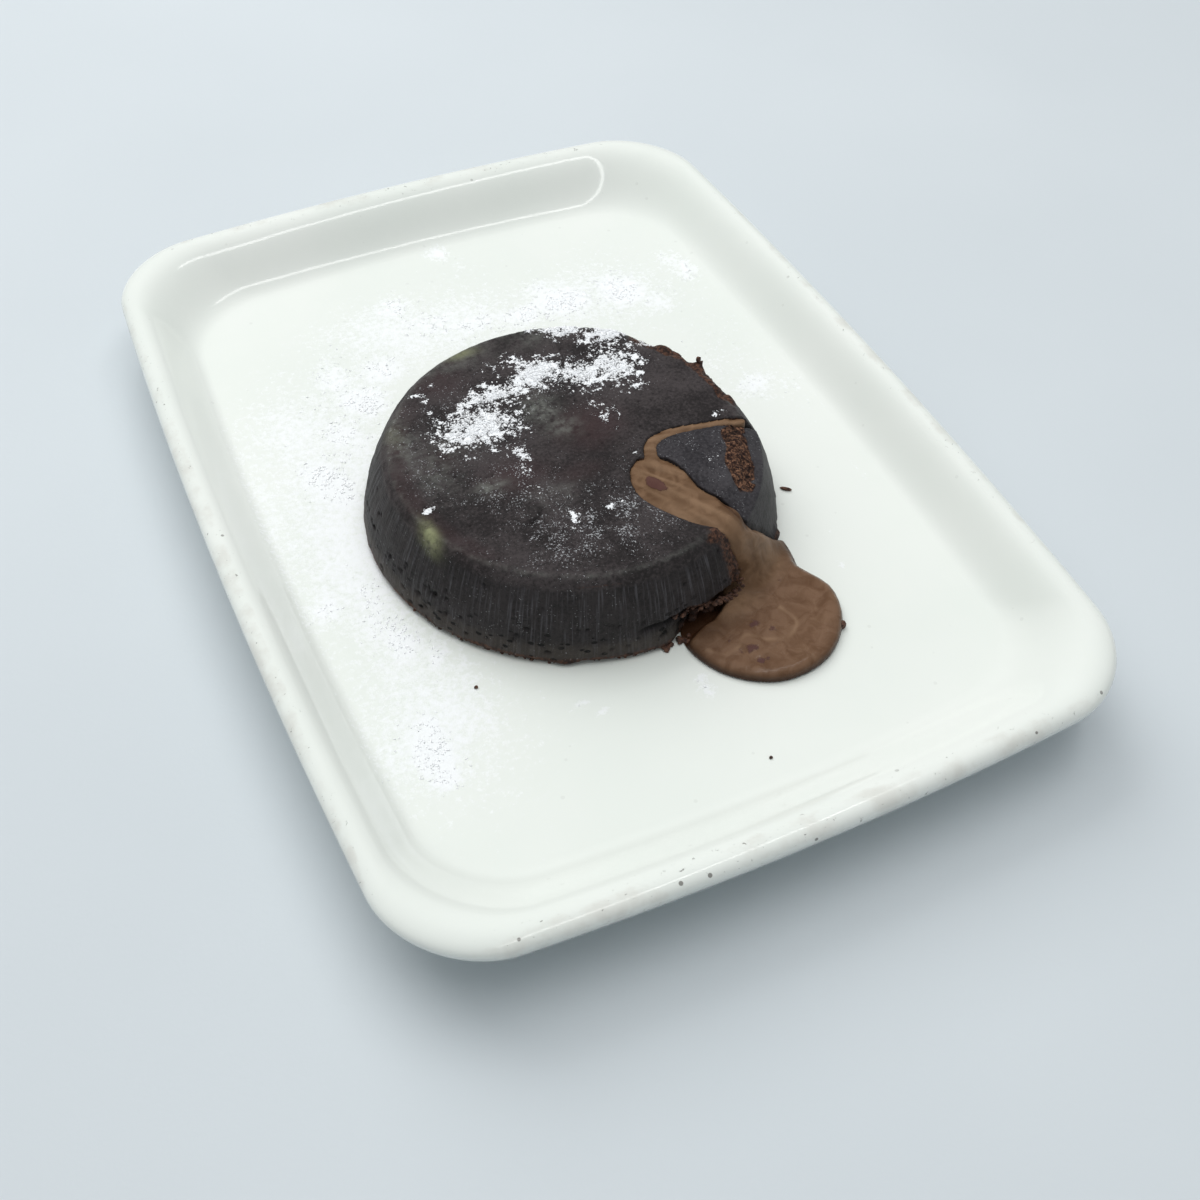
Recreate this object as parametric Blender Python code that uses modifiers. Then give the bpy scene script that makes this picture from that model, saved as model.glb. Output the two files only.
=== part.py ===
"""A molten-centre chocolate cake, cut open, on its white rectangular plate.

Metres, +Z up. The origin is the middle of the plate's footprint, on the surface that it
stands on. +Y is the plate's long way and +X its short way.
"""

import math

import bmesh
import bpy
from mathutils import Vector

MM = 0.001
GAP = 0.3 * MM
WELD = 0.01 * MM

# Plate: outline, before its sides bow out, and the heights of its profile.
PLATE_HALF = Vector((76.5 * MM, 106.4 * MM))
PLATE_BOW = 3.6 * MM
PLATE_CORNER = 19 * MM
PLATE_HEIGHT = 20 * MM
EDGE_LEVEL = 18 * MM
EDGE_BAND = 4.3 * MM
EDGE_BAND_INSET = 2.1 * MM
BAND_MIDDLE_INSET = 0.3
BAND_MIDDLE_RISE = 0.4
LIP_CREST_INSET = 2.8 * MM
FLOOR_LEVEL = 10 * MM
FLOOR_INSET = Vector((14.5 * MM, 19 * MM))
FLOOR_CORNER = 17 * MM
UNDERSIDE_LEVEL = 5 * MM
UNDERSIDE_CURVE = 1.25
FOOT_INSET = 21 * MM
FOOT_WIDTH = 4 * MM
FOOT_ROUND = 0.6 * MM
FOOT_FLARE = 1.8 * MM
FOOT_CORNER = 14 * MM
SIDE_STEPS = 6
CORNER_STEPS = 6
LIP_STEPS = 4
WALL_STEPS = 8
UNDERSIDE_STEPS = 3

# Cake: a low truncated cone with a soft top edge.
CAKE_CENTRE = Vector((-3.3 * MM, -9.3 * MM))
CAKE_BASE_RADIUS = 45.7 * MM
CAKE_TOP_RADIUS = 39.3 * MM
CAKE_HEIGHT = 19.3 * MM
CAKE_TOP = FLOOR_LEVEL + CAKE_HEIGHT
CAKE_SEAT = FLOOR_LEVEL + GAP
CAKE_EDGE_ROUND = 1.4 * MM
CAKE_BASE_ROUND = 1.2 * MM
FLANK_BULGE = 0.9 * MM
FLANK_STEPS = 5
ROUND_STEPS = 3
TURN_STEPS = 64
BROKEN_SHOULDER = 4.5 * MM
BROKEN_DROP = 3.4 * MM

# Molten filling: it fills the notch, drapes over the cake's edge and spreads as a puddle.
FILLING_SEAT = FLOOR_LEVEL + GAP
FLOW_SINK = 0.3 * MM
FLOW_SEAT_LIFT = 0.2 * MM
FLOW_FOOT_SHARE = 0.8
FLOW_CROWN = 0.5 * MM
DRAPE_START = 37.5 * MM
DRAPE_END = 51 * MM
FREE_EDGE_LEVEL = FLOOR_LEVEL + 1.2 * MM
FREE_FROM_LEFT = 44 * MM
FREE_FROM_RIGHT = CAKE_TOP_RADIUS
PUDDLE_DEPTH = 3 * MM
PUDDLE_CENTRE = Vector((18 * MM, -55.5 * MM))
PUDDLE_EDGE_ROUND = 2.6 * MM
PUDDLE_SKIRT = 0.3
PUDDLE_REACH = 18 * MM
PUDDLE_RINGS = (1.0, 1.0, 0.985, 0.955, 0.9, 0.7, 0.35)
PUDDLE_STEPS = 48
FLOW_STATIONS = 26
FLOW_ACROSS = 8
OOZE_STATIONS = 20
OOZE_WIDTH_START = 2.4 * MM
OOZE_WIDTH_END = 0.7 * MM
OOZE_LEVEL = CAKE_TOP - 0.1 * MM
OOZE_SEAT_LIFT = 0.4 * MM
CORE_CENTRE = Vector((-0.5 * MM, -16 * MM, 19 * MM))
CORE_RADII = Vector((15 * MM, 12 * MM, 6 * MM))
CUTTER_TOP = CAKE_TOP + 6 * MM

# The notch and the flow out of it, from the blind end outwards: distance from the cake's
# axis in millimetres, then the directions of the left and the right side in degrees.
FLOW_SIDES = (
    (15.0, -58.0, -45.0), (17.0, -67.0, -39.5), (20.5, -72.0, -38.5), (24.5, -72.0, -43.5),
    (29.0, -70.0, -51.0), (34.0, -67.5, -53.0), (38.0, -64.5, -53.5), (41.0, -62.8, -53.8),
    (43.0, -62.0, -47.5), (46.5, -63.5, -38.8), (50.0, -66.0, -43.0), (54.0, -67.0, -50.0),
)  # fmt: skip

# Plan outlines in millimetres: the puddle's edge, the crack that parts the slice from the
# cake, and the region around the slice, whose sides run inside the crack and the notch.
PUDDLE_EDGE = (
    (2.6, -50.5), (1.0, -57.5), (4.5, -65.5), (11.5, -71.0), (19.0, -72.3),
    (27.0, -70.0), (33.5, -63.5), (35.8, -55.0), (32.2, -46.5), (33.0, -42.0),
    (28.0, -38.6), (18.0, -41.5), (10.0, -46.5),
)  # fmt: skip
OOZE_PATH = (
    (9.6, -24.0), (10.4, -19.5), (12.4, -16.2), (16.5, -15.0), (23.0, -15.6),
    (33.5, -17.6), (44.0, -20.0),
)  # fmt: skip
SLICE_REGION = (
    *OOZE_PATH[:-1], (60.0, -23.4), (60.0, -60.0), (27.0, -60.0), (22.0, -45.0), (12.0, -34.0),
)  # fmt: skip

# The hollow under the cake's torn lip, left of the notch.
UNDERCUT_ANGLE = math.radians(-71)
UNDERCUT_RADIUS = 46 * MM
UNDERCUT_RADII = Vector((9 * MM, 8.5 * MM, 5 * MM))
UNDERCUT_LEVEL = FLOOR_LEVEL + 2.5 * MM
BALL_TURN = 24
BALL_RISE = 12

PLATE_COLOUR = (0.86, 0.89, 0.86)
CAKE_COLOUR = (0.045, 0.038, 0.036)
SLICE_COLOUR = (0.05, 0.04, 0.037)
FILLING_COLOUR = (0.16, 0.09, 0.055)


def clear_scene():
    for item in list(bpy.data.objects):
        bpy.data.objects.remove(item, do_unlink=True)


def new_collection(name):
    collection = bpy.data.collections.new(name)
    bpy.context.scene.collection.children.link(collection)
    return collection


def make_material(name, colour, roughness):
    material = bpy.data.materials.new(name)
    material.use_nodes = True
    shader = material.node_tree.nodes["Principled BSDF"]
    shader.inputs["Base Color"].default_value = (*colour, 1.0)
    shader.inputs["Roughness"].default_value = roughness
    shader.inputs["Metallic"].default_value = 0.0
    return material


def object_from(bm, name, collection):
    """An object that holds the finished bmesh, with its faces pointing out."""
    bmesh.ops.recalc_face_normals(bm, faces=bm.faces)
    mesh = bpy.data.meshes.new(name)
    bm.to_mesh(mesh)
    bm.free()
    item = bpy.data.objects.new(name, mesh)
    collection.objects.link(item)
    return item


def lerp(start, end, share):
    return start + (end - start) * share


def ease(share):
    """A soft step from 0 to 1."""
    return 0.5 - 0.5 * math.cos(math.pi * min(max(share, 0.0), 1.0))


def spline(points, count, closed=False):
    """Evenly numbered points on a smooth curve through a few knots."""
    knots = [Vector(point) for point in points]
    spans = len(knots) if closed else len(knots) - 1
    curve = []
    for step in range(count):
        place = step * spans / (count if closed else count - 1)
        span = min(int(place), spans - 1)
        share = place - span
        if closed:
            a, b, c, d = (knots[(span + shift) % len(knots)] for shift in (-1, 0, 1, 2))
        else:
            b, c = knots[span], knots[span + 1]
            a = knots[span - 1] if span else b * 2 - c
            d = knots[span + 2] if span + 2 < len(knots) else c * 2 - b
        curve.append(
            b
            + (c - a) * (share / 2)
            + (a * 2 - b * 5 + c * 4 - d) * (share**2 / 2)
            + (b * 3 - a - c * 3 + d) * (share**3 / 2)
        )
    return curve


def loft(sections):
    """A closed bmesh through rings with equal numbers of points, capped at both ends."""
    bm = bmesh.new()
    rings = [[bm.verts.new(point) for point in section] for section in sections]
    for lower, upper in zip(rings, rings[1:]):
        for place, corner in enumerate(lower):
            after = (place + 1) % len(lower)
            bm.faces.new((corner, lower[after], upper[after], upper[place]))
    bm.faces.new(reversed(rings[0]))
    bm.faces.new(rings[-1])
    return bm


def plate_ring(inset, corner, level):
    """A rounded rectangle, inset from the plate's outline, whose sides bow gently out."""
    half = PLATE_HALF - inset
    ring = []
    for turn, (sign_x, sign_y) in enumerate(((1, 1), (-1, 1), (-1, -1), (1, -1))):
        centre = Vector((sign_x * (half.x - corner), sign_y * (half.y - corner)))
        for step in range(CORNER_STEPS + 1):
            angle = math.radians(90 * (turn + step / CORNER_STEPS))
            ring.append(centre + Vector((math.cos(angle), math.sin(angle))) * corner)
        run = 2 * (half.x if turn % 2 == 0 else half.y) - 2 * corner
        along = Vector((math.cos(angle + math.pi / 2), math.sin(angle + math.pi / 2)))
        start = ring[-1]
        for step in range(1, SIDE_STEPS):
            ring.append(start + along * (run * step / SIDE_STEPS))
    bowed = []
    for point in ring:
        share_x = point.x / half.x
        share_y = point.y / half.y
        push_x = math.copysign(PLATE_BOW * (1 - share_y**2) * share_x**4, share_x)
        push_y = math.copysign(PLATE_BOW * (1 - share_x**2) * share_y**4, share_y)
        bowed.append((point.x + push_x, point.y + push_y, level))
    return bowed


def plate_profile():
    """(inset, corner, level) of each ring: the foot, the underside, the lip, the floor."""
    even = Vector((1.0, 1.0))
    inner_foot = FOOT_INSET + FOOT_WIDTH
    profile = [
        (even * (inner_foot + FOOT_FLARE), FOOT_CORNER, UNDERSIDE_LEVEL),
        (even * (inner_foot + FOOT_ROUND), FOOT_CORNER, UNDERSIDE_LEVEL - FOOT_ROUND),
        (even * inner_foot, FOOT_CORNER, FOOT_ROUND),
        (even * (inner_foot - FOOT_ROUND), FOOT_CORNER, 0.0),
        (even * (FOOT_INSET + FOOT_ROUND), FOOT_CORNER, 0.0),
        (even * FOOT_INSET, FOOT_CORNER, FOOT_ROUND),
        (even * (FOOT_INSET - FOOT_ROUND), FOOT_CORNER, UNDERSIDE_LEVEL - FOOT_ROUND),
    ]
    band_foot = EDGE_LEVEL - EDGE_BAND
    for step in range(UNDERSIDE_STEPS):
        share = step / UNDERSIDE_STEPS
        inset = lerp(FOOT_INSET - FOOT_FLARE, EDGE_BAND_INSET, share)
        level = lerp(UNDERSIDE_LEVEL, band_foot, share**UNDERSIDE_CURVE)
        profile.append((even * inset, lerp(FOOT_CORNER, PLATE_CORNER, share), level))
    profile.append((even * EDGE_BAND_INSET, PLATE_CORNER, band_foot))
    inset = EDGE_BAND_INSET * BAND_MIDDLE_INSET
    profile.append((even * inset, PLATE_CORNER, band_foot + EDGE_BAND * BAND_MIDDLE_RISE))
    for step in range(LIP_STEPS):
        angle = math.radians(90 * step / LIP_STEPS)
        inset = LIP_CREST_INSET * (1 - math.cos(angle))
        rise = (PLATE_HEIGHT - EDGE_LEVEL) * math.sin(angle)
        profile.append((even * inset, PLATE_CORNER, EDGE_LEVEL + rise))
    for step in range(WALL_STEPS + 1):
        share = step / WALL_STEPS
        inset = (even * LIP_CREST_INSET).lerp(FLOOR_INSET, share)
        level = lerp(PLATE_HEIGHT, FLOOR_LEVEL, ease(share))
        profile.append((inset, lerp(PLATE_CORNER, FLOOR_CORNER, share), level))
    return profile


def make_plate(collection):
    bm = loft([plate_ring(*ring) for ring in plate_profile()])
    plate = object_from(bm, "plate", collection)
    plate.data.materials.append(make_material("white_glaze", PLATE_COLOUR, 0.12))
    plate.data.shade_smooth()
    return plate


def cake_profile(shoulder, drop):
    """The cake's half outline as (radius, level), from the axis over the top to the seat.

    A broken shoulder is a sloping band, cut this far in and down from the top edge.
    """
    profile = [(0.0, CAKE_TOP)]
    if shoulder:
        profile.append((CAKE_TOP_RADIUS - shoulder, CAKE_TOP))
        top = CAKE_TOP - drop
    else:
        for step in range(ROUND_STEPS):
            angle = math.radians(90 * step / ROUND_STEPS)
            radius = CAKE_TOP_RADIUS - CAKE_EDGE_ROUND * (1 - math.sin(angle))
            profile.append((radius, CAKE_TOP - CAKE_EDGE_ROUND * (1 - math.cos(angle))))
        top = CAKE_TOP - CAKE_EDGE_ROUND
    foot = CAKE_SEAT + CAKE_BASE_ROUND
    for step in range(FLANK_STEPS + 1):
        level = lerp(top, foot, step / FLANK_STEPS)
        share = (CAKE_TOP - level) / CAKE_HEIGHT
        bulge = FLANK_BULGE * math.sin(math.pi * share)
        profile.append((lerp(CAKE_TOP_RADIUS, CAKE_BASE_RADIUS, share) + bulge, level))
    profile.append((CAKE_BASE_RADIUS - CAKE_BASE_ROUND, CAKE_SEAT))
    profile.append((0.0, CAKE_SEAT))
    return profile


def turned_cake(name, shoulder, drop, collection):
    """The whole round cake, turned about its own axis."""
    profile = cake_profile(shoulder, drop)
    mesh = bpy.data.meshes.new(name)
    points = [(radius, 0.0, level) for radius, level in profile]
    mesh.from_pydata(points, [(place, place + 1) for place in range(len(points) - 1)], [])
    item = bpy.data.objects.new(name, mesh)
    item.location = (CAKE_CENTRE.x, CAKE_CENTRE.y, 0.0)
    collection.objects.link(item)
    screw = item.modifiers.new("turn", "SCREW")
    screw.steps = TURN_STEPS
    screw.render_steps = TURN_STEPS
    screw.use_merge_vertices = True
    screw.merge_threshold = WELD
    screw.use_smooth_shade = True
    return item


def add_boolean(item, other, operation):
    modifier = item.modifiers.new(f"{operation.lower()}_{other.name}", "BOOLEAN")
    modifier.operation = operation
    modifier.solver = "EXACT"
    modifier.object = other


def as_cutter(item):
    item.hide_render = True
    item.display_type = "WIRE"
    return item


def around_cake(radius, angle):
    """The plan point at a distance and a direction from the cake's axis."""
    return CAKE_CENTRE + Vector((math.cos(angle), math.sin(angle))) * radius


def flow_level(radius):
    """How high the molten filling stands at a distance from the cake's axis."""
    share = (radius - DRAPE_START) / (DRAPE_END - DRAPE_START)
    lowest = FLOOR_LEVEL + PUDDLE_DEPTH * FLOW_FOOT_SHARE
    return lerp(CAKE_TOP - FLOW_SINK, lowest, ease(share))


def flow_edge_level(radius, free_from):
    """How high the filling stands at its side: full between the notch's walls, and down
    on the cake's flank or close to the plate where nothing holds it."""
    level = flow_level(radius) - FLOW_CROWN
    if radius < free_from:
        return level
    share = (radius - CAKE_TOP_RADIUS) / (CAKE_BASE_RADIUS - CAKE_TOP_RADIUS)
    return min(level, max(CAKE_TOP - CAKE_HEIGHT * share, FREE_EDGE_LEVEL))


def flow_body(name, grow, lid, collection):
    """The tongue of filling between the notch's walls, and over the cake's edge.

    Each section runs straight across at one distance from the cake's axis. grow widens the
    tongue on every side, and a lid carries the part inside the cake up to it.
    """
    seat = FILLING_SEAT + FLOW_SEAT_LIFT - grow
    sections = []
    for radius, left, right in spline(FLOW_SIDES, FLOW_STATIONS):
        radius *= MM
        widen = grow / radius
        if not sections:
            radius -= grow
        middle = flow_level(radius)
        sides = [flow_edge_level(radius, free) for free in (FREE_FROM_LEFT, FREE_FROM_RIGHT)]
        near = around_cake(radius, math.radians(left) - widen)
        far = around_cake(radius, math.radians(right) + widen)
        section = [(far.x, far.y, seat), (near.x, near.y, seat)]
        for step in range(FLOW_ACROSS + 1):
            share = step / FLOW_ACROSS
            place = near.lerp(far, share)
            level = lerp(middle, sides[step * 2 > FLOW_ACROSS], abs(2 * share - 1) ** 3)
            covered = lid and radius < CAKE_BASE_RADIUS
            section.append((place.x, place.y, lid if covered else level + grow))
        sections.append(section)
    return object_from(loft(sections), name, collection)


def puddle_body(name, grow, collection):
    """The pool on the plate: a flat pillow with a thick rounded edge."""
    edge = [point * MM for point in spline(PUDDLE_EDGE, PUDDLE_STEPS, closed=True)]
    seat = FILLING_SEAT - grow
    depth = PUDDLE_DEPTH - GAP + 2 * grow
    sections = []
    for place, share in enumerate(PUDDLE_RINGS):
        reach = min((1 - share) * PUDDLE_REACH / PUDDLE_EDGE_ROUND, 1.0)
        rise = math.sqrt(1 - (1 - reach) ** 2)
        level = seat + depth * lerp(PUDDLE_SKIRT, 1.0, rise) if place else seat
        ring = []
        for point in edge:
            out = point - PUDDLE_CENTRE
            placed = PUDDLE_CENTRE + out * share + out.normalized() * grow
            ring.append((placed.x, placed.y, level))
        sections.append(ring)
    return object_from(loft(sections), name, collection)


def ooze_body(name, grow, level, collection):
    """The thin wall of filling that wells up along the crack behind the slice."""
    path = [point * MM for point in spline(OOZE_PATH, OOZE_STATIONS)]
    seat = FILLING_SEAT + OOZE_SEAT_LIFT - grow
    sections = []
    for place, point in enumerate(path):
        if (point - CAKE_CENTRE).length > CAKE_TOP_RADIUS and not grow:
            break
        ahead = path[min(place + 1, len(path) - 1)] - path[max(place - 1, 0)]
        side = Vector((-ahead.y, ahead.x)).normalized()
        share = place / (len(path) - 1)
        half = lerp(OOZE_WIDTH_START, OOZE_WIDTH_END, share) / 2 + grow
        one = point + side * half
        other = point - side * half
        sections.append(
            [
                (one.x, one.y, seat),
                (other.x, other.y, seat),
                (other.x, other.y, level),
                (one.x, one.y, level),
            ]
        )
    return object_from(loft(sections), name, collection)


def ellipsoid(name, centre, radii, turn, collection):
    bm = bmesh.new()
    bmesh.ops.create_uvsphere(bm, u_segments=BALL_TURN, v_segments=BALL_RISE, radius=1.0)
    for vert in bm.verts:
        vert.co = Vector(vert.co[axis] * radii[axis] for axis in range(3))
    item = object_from(bm, name, collection)
    item.location = centre
    item.rotation_euler = (0.0, 0.0, turn)
    return item


def core_body(name, grow, collection):
    """The molten heart of the cake, which the cut lets out."""
    return ellipsoid(name, CORE_CENTRE, CORE_RADII + Vector((grow,) * 3), 0.0, collection)


def undercut_body(name, collection):
    place = around_cake(UNDERCUT_RADIUS, UNDERCUT_ANGLE)
    centre = Vector((place.x, place.y, UNDERCUT_LEVEL))
    return ellipsoid(name, centre, UNDERCUT_RADII, UNDERCUT_ANGLE, collection)


def slice_region(name, collection):
    """The prism that holds the cut slice: its sides run inside the crack and the notch."""
    rings = []
    for level in (0.0, CUTTER_TOP):
        rings.append([(x * MM, y * MM, level) for x, y in SLICE_REGION])
    return object_from(loft(rings), name, collection)


def make_filling(collection, cutters):
    filling = flow_body("filling", 0.0, None, collection)
    joined = (
        puddle_body("join_puddle", 0.0, cutters),
        ooze_body("join_ooze", 0.0, OOZE_LEVEL, cutters),
        core_body("join_core", 0.0, cutters),
    )
    for other in joined:
        add_boolean(filling, as_cutter(other), "UNION")
    filling.data.materials.append(make_material("melted_chocolate", FILLING_COLOUR, 0.22))
    return filling


def make_filling_cutters(cutters):
    """What the filling takes out of the cake and the slice, with a gap all round."""
    return (
        as_cutter(flow_body("cut_flow", GAP, CUTTER_TOP, cutters)),
        as_cutter(puddle_body("cut_puddle", GAP, cutters)),
        as_cutter(ooze_body("cut_ooze", GAP, CUTTER_TOP, cutters)),
        as_cutter(core_body("cut_core", GAP, cutters)),
    )


def make_cake(collection, cutters, region, filling_cutters):
    cake = turned_cake("cake", 0.0, 0.0, collection)
    add_boolean(cake, region, "DIFFERENCE")
    for other in filling_cutters:
        add_boolean(cake, other, "DIFFERENCE")
    add_boolean(cake, as_cutter(undercut_body("cut_under", cutters)), "DIFFERENCE")
    cake.data.materials.append(make_material("dark_sponge", CAKE_COLOUR, 0.8))
    return cake


def make_slice(collection, region, filling_cutters):
    piece = turned_cake("cake_slice", BROKEN_SHOULDER, BROKEN_DROP, collection)
    add_boolean(piece, region, "INTERSECT")
    for other in filling_cutters:
        add_boolean(piece, other, "DIFFERENCE")
    piece.data.materials.append(make_material("cut_sponge", SLICE_COLOUR, 0.85))
    return piece


def main():
    clear_scene()
    parts = new_collection("molten_chocolate_cake")
    cutters = new_collection("cutters")
    region = as_cutter(slice_region("slice_region", cutters))
    filling_cutters = make_filling_cutters(cutters)
    make_plate(parts)
    make_cake(parts, cutters, region, filling_cutters)
    make_slice(parts, region, filling_cutters)
    make_filling(parts, cutters)


main()
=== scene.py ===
import itertools
import math

import bmesh
import bpy
import numpy as np
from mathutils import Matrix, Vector


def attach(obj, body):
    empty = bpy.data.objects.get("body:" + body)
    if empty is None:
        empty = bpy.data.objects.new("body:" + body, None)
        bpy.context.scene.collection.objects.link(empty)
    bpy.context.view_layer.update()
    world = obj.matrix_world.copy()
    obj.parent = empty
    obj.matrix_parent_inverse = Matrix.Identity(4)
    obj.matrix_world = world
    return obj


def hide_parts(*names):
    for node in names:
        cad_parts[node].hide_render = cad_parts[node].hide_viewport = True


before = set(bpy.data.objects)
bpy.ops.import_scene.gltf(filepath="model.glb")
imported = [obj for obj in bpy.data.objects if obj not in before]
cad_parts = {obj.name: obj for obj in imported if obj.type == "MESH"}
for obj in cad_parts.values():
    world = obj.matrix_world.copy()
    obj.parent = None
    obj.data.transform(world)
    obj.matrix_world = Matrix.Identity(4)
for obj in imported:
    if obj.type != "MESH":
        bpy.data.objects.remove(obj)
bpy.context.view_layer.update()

MM = 0.001

# Plate, in millimetres: outline before its sides bow out, then the heights of its profile.
PLATE_HALF = np.array((76.5, 106.4))
PLATE_BOW = 3.6
PLATE_CORNER = 19.0
PLATE_HEIGHT = 20.0
EDGE_LEVEL = 18.0
EDGE_BAND = 4.3
EDGE_BAND_INSET = 2.1
LIP_CREST_INSET = 2.8
FLOOR_LEVEL = 10.0
FLOOR_INSET = np.array((14.5, 19.0))
FLOOR_CORNER = 17.0
UNDERSIDE_LEVEL = 5.0
FOOT_INSET = 21.0
FOOT_WIDTH = 4.0
FOOT_ROUND = 0.6
FOOT_CORNER = 14.0
FOOT_SPREAD = 1.8
RING_STEPS = 24
OUTSIDE_STEPS = 10
UNDER_RINGS = 24
WALL_STEPS = 26
LIP_STEPS = 12
FLOOR_RINGS = 60

# Cake, in millimetres.
CAKE_CENTRE = np.array((-3.3, -9.3))
CAKE_BASE_RADIUS = 45.7
CAKE_TOP_RADIUS = 39.3
FOOT_RADIUS = 42.5
CAKE_SEAT = 10.3
CAKE_TOP = 29.3
TOP_ROOM = 0.64
SEAT_ON_GLAZE = 10.05
CAKE_VOXEL = 0.46
SLICE_VOXEL = 0.36
FILLING_VOXEL = 0.34

# The crack left of the torn lip, as directions in degrees and heights; the hollow under the lip,
# as direction, distance from the cake's axis and height; and the lip's corner by the flow, as
# heights and directions.
CRACK_ANGLES = (-99, -95, -88, -82, -76, -70.6, -63.6)
CRACK_LEVELS = (16.8, 17.0, 17.1, 17.1, 15.9, 14.5, 13.0)
UNDERCUT = (-71.0, 46.0, 12.5)
LIP_CORNER = ((13, 20, 26), (-62.3, -61.8, -62.6))

# Single places in plan.
FOOT_LUMP = (-24, -51)
SPUR = (33.6, 3.5)
LIP_END = (13.5, -46.5)
DISC_MARK = (-3, -8)
DISC_MARK_RADIUS = 12.5
SLICE_TIP = (32, -38)
FLOW_LUMP = (7.4, -27.6)
PUDDLE_SHADE = (5, -54)
PUDDLE_LOBE = (32, -42)

# Pores of the flank: seed, count, range of heights, range of widths, then height over width.
FLANK_PORES = (
    (31, 120, (11.2, 19.5), (0.35, 0.8), 0.55),
    (32, 40, (18.5, 27), (0.3, 0.5), 0.7),
    (33, 16, (12.5, 19), (0.9, 1.7), 0.2),
)

# Sugar and other marks: middle x and y, half widths, then how strong, in millimetres.
SUGAR_ON_TOP = (
    (-20, 3, 8.5, 6, 1.15), (-12, 11, 8.5, 3.6, 1.0), (-1, 14, 6, 5, 1.1), (8, 10, 6, 4.5, 1.0),
    (16, 9.5, 5.5, 7, 1.0), (11, 26, 5.5, 3.2, 1.15), (19, 20.5, 6.5, 3.4, 1.1), (26, 15, 4, 2.4, 0.75),
    (-6, 20, 5, 3, 0.5), (-15, -7, 2, 5, 0.7), (-16, -15, 2, 6, 0.35), (7, -3, 3, 6, 0.4),
    (7.5, -18, 0.7, 0.5, 1.1), (-38, -16, 1.2, 0.7, 1.0), (29.5, -14, 1.7, 1.1, 0.5),
    (-12, -30, 3, 4, 0.3), (-4, -29, 5, 2.5, 0.3), (22, -26, 1.6, 1.1, 0.35), (5, 29, 3.5, 1.3, 0.85),
    (-28, 16, 4, 4, 0.2), (-32, 8, 3, 4, 0.2), (-27, 11, 2, 2, 0.24), (-24, 20, 4, 2, 0.22),
)  # fmt: skip
FINE_DUST_ON_TOP = (
    (-8, -33, 20, 11, 1.1), (-20, -18, 12, 9, 0.8), (-22, 6, 16, 14, 0.8), (2, 10, 26, 12, 0.5),
    (8, -22, 10, 9, 0.4), (-33, 0, 8, 20, 0.6), (24, -26, 8, 10, 0.5),
)  # fmt: skip
HAZE_ON_TOP = (
    (-24, -15, 3.2, 2.0, 1.0), (-5, 3, 3.6, 4.2, 1.0), (-3, -4, 3.6, 3.2, 0.7),
    (-36, 6, 3, 9, 0.7), (3, 26, 5, 3, 0.5), (-33, -6, 4, 7, 0.5), (-16, 26, 8, 4, 0.5),
    (-27, 0, 6, 5, 0.3), (-13, -22, 5, 3, 0.3),
)  # fmt: skip
GREEN_SPOTS = ((-40, -22, 1.3, 3.2, 0.85), (-14, 27, 3.2, 1.4, 0.5), (-37, 8, 1.6, 3.0, 0.12))
WINE_TINTS = (
    (-18, -14, 9, 6, 0.8), (2, -6, 9, 8, 0.9), (-30, -3, 6, 6, 0.5), (-22, 20, 8, 6, 0.7),
    (-6, -18, 8, 4, 0.6), (-34, 14, 5, 6, 0.6),
)  # fmt: skip
SUGAR_ON_PLATE = (
    (-15, 72, 6, 6, 0.7), (-9, 62, 8, 6, 0.8), (1, 58, 9, 5, 0.85), (14, 56, 9, 5, 0.9),
    (25, 57, 9, 6, 1.15), (40, 56, 7, 8, 1.05), (22, 64, 5, 5, 0.7), (47, 47, 5, 5, 0.6),
    (3.6, 89, 3.5, 4, 0.75), (6, 82, 2, 6, 0.4), (58, 62, 4, 5, 0.75), (60, 56, 4, 5, 0.8),
    (-38, 52, 6, 7, 0.75), (-34, 41, 7, 7, 0.95), (-42, 33, 6, 7, 0.9), (-50, 22, 6, 6, 1.1),
    (-48, 15, 5, 5, 1.0), (-26, 51, 7, 6, 0.8), (-44, 44, 5, 8, 0.6), (-36, 60, 5, 6, 0.4),
    (54, 8.5, 6, 4, 0.8), (62, 3.5, 5, 4, 0.45), (47, 22, 5, 8, 0.35), (55, 30, 7, 9, 0.25),
    (-62, -17, 4.5, 3.4, 1.05), (-53, -16, 4, 5, 0.9), (-53, -26, 6, 5, 0.85),
    (-50, -32, 5, 3.4, 1.0), (-46, -37, 4, 3, 0.85), (-41, -42, 4, 2, 0.5),
    (-54, -53, 4, 5, 0.95), (-55, -59, 5, 5, 1.1), (-55, -65, 4, 4, 0.95), (-61, -58, 5, 6, 0.5),
    (-24, -59.8, 1.5, 0.7, 1.1), (-21, -63, 1.2, 0.6, 1.0), (-0.4, -64.5, 1.2, 1.5, 0.85),
    (-0.6, -68, 1.4, 1.6, 0.9), (44.3, -42, 1.6, 1.2, 0.7), (42, -49.7, 0.9, 1.2, 0.7),
    (61, -28, 1, 1.4, 0.5),
)  # fmt: skip
FINE_DUST_ON_PLATE = (
    (-50, -10, 16, 34, 1.0), (-52, -52, 16, 22, 0.8), (-46, 26, 18, 30, 0.9),
    (-10, 62, 30, 16, 0.8), (34, 56, 24, 18, 0.7), (54, 20, 14, 30, 0.4), (-64, 10, 6, 40, 0.6),
)  # fmt: skip

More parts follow.
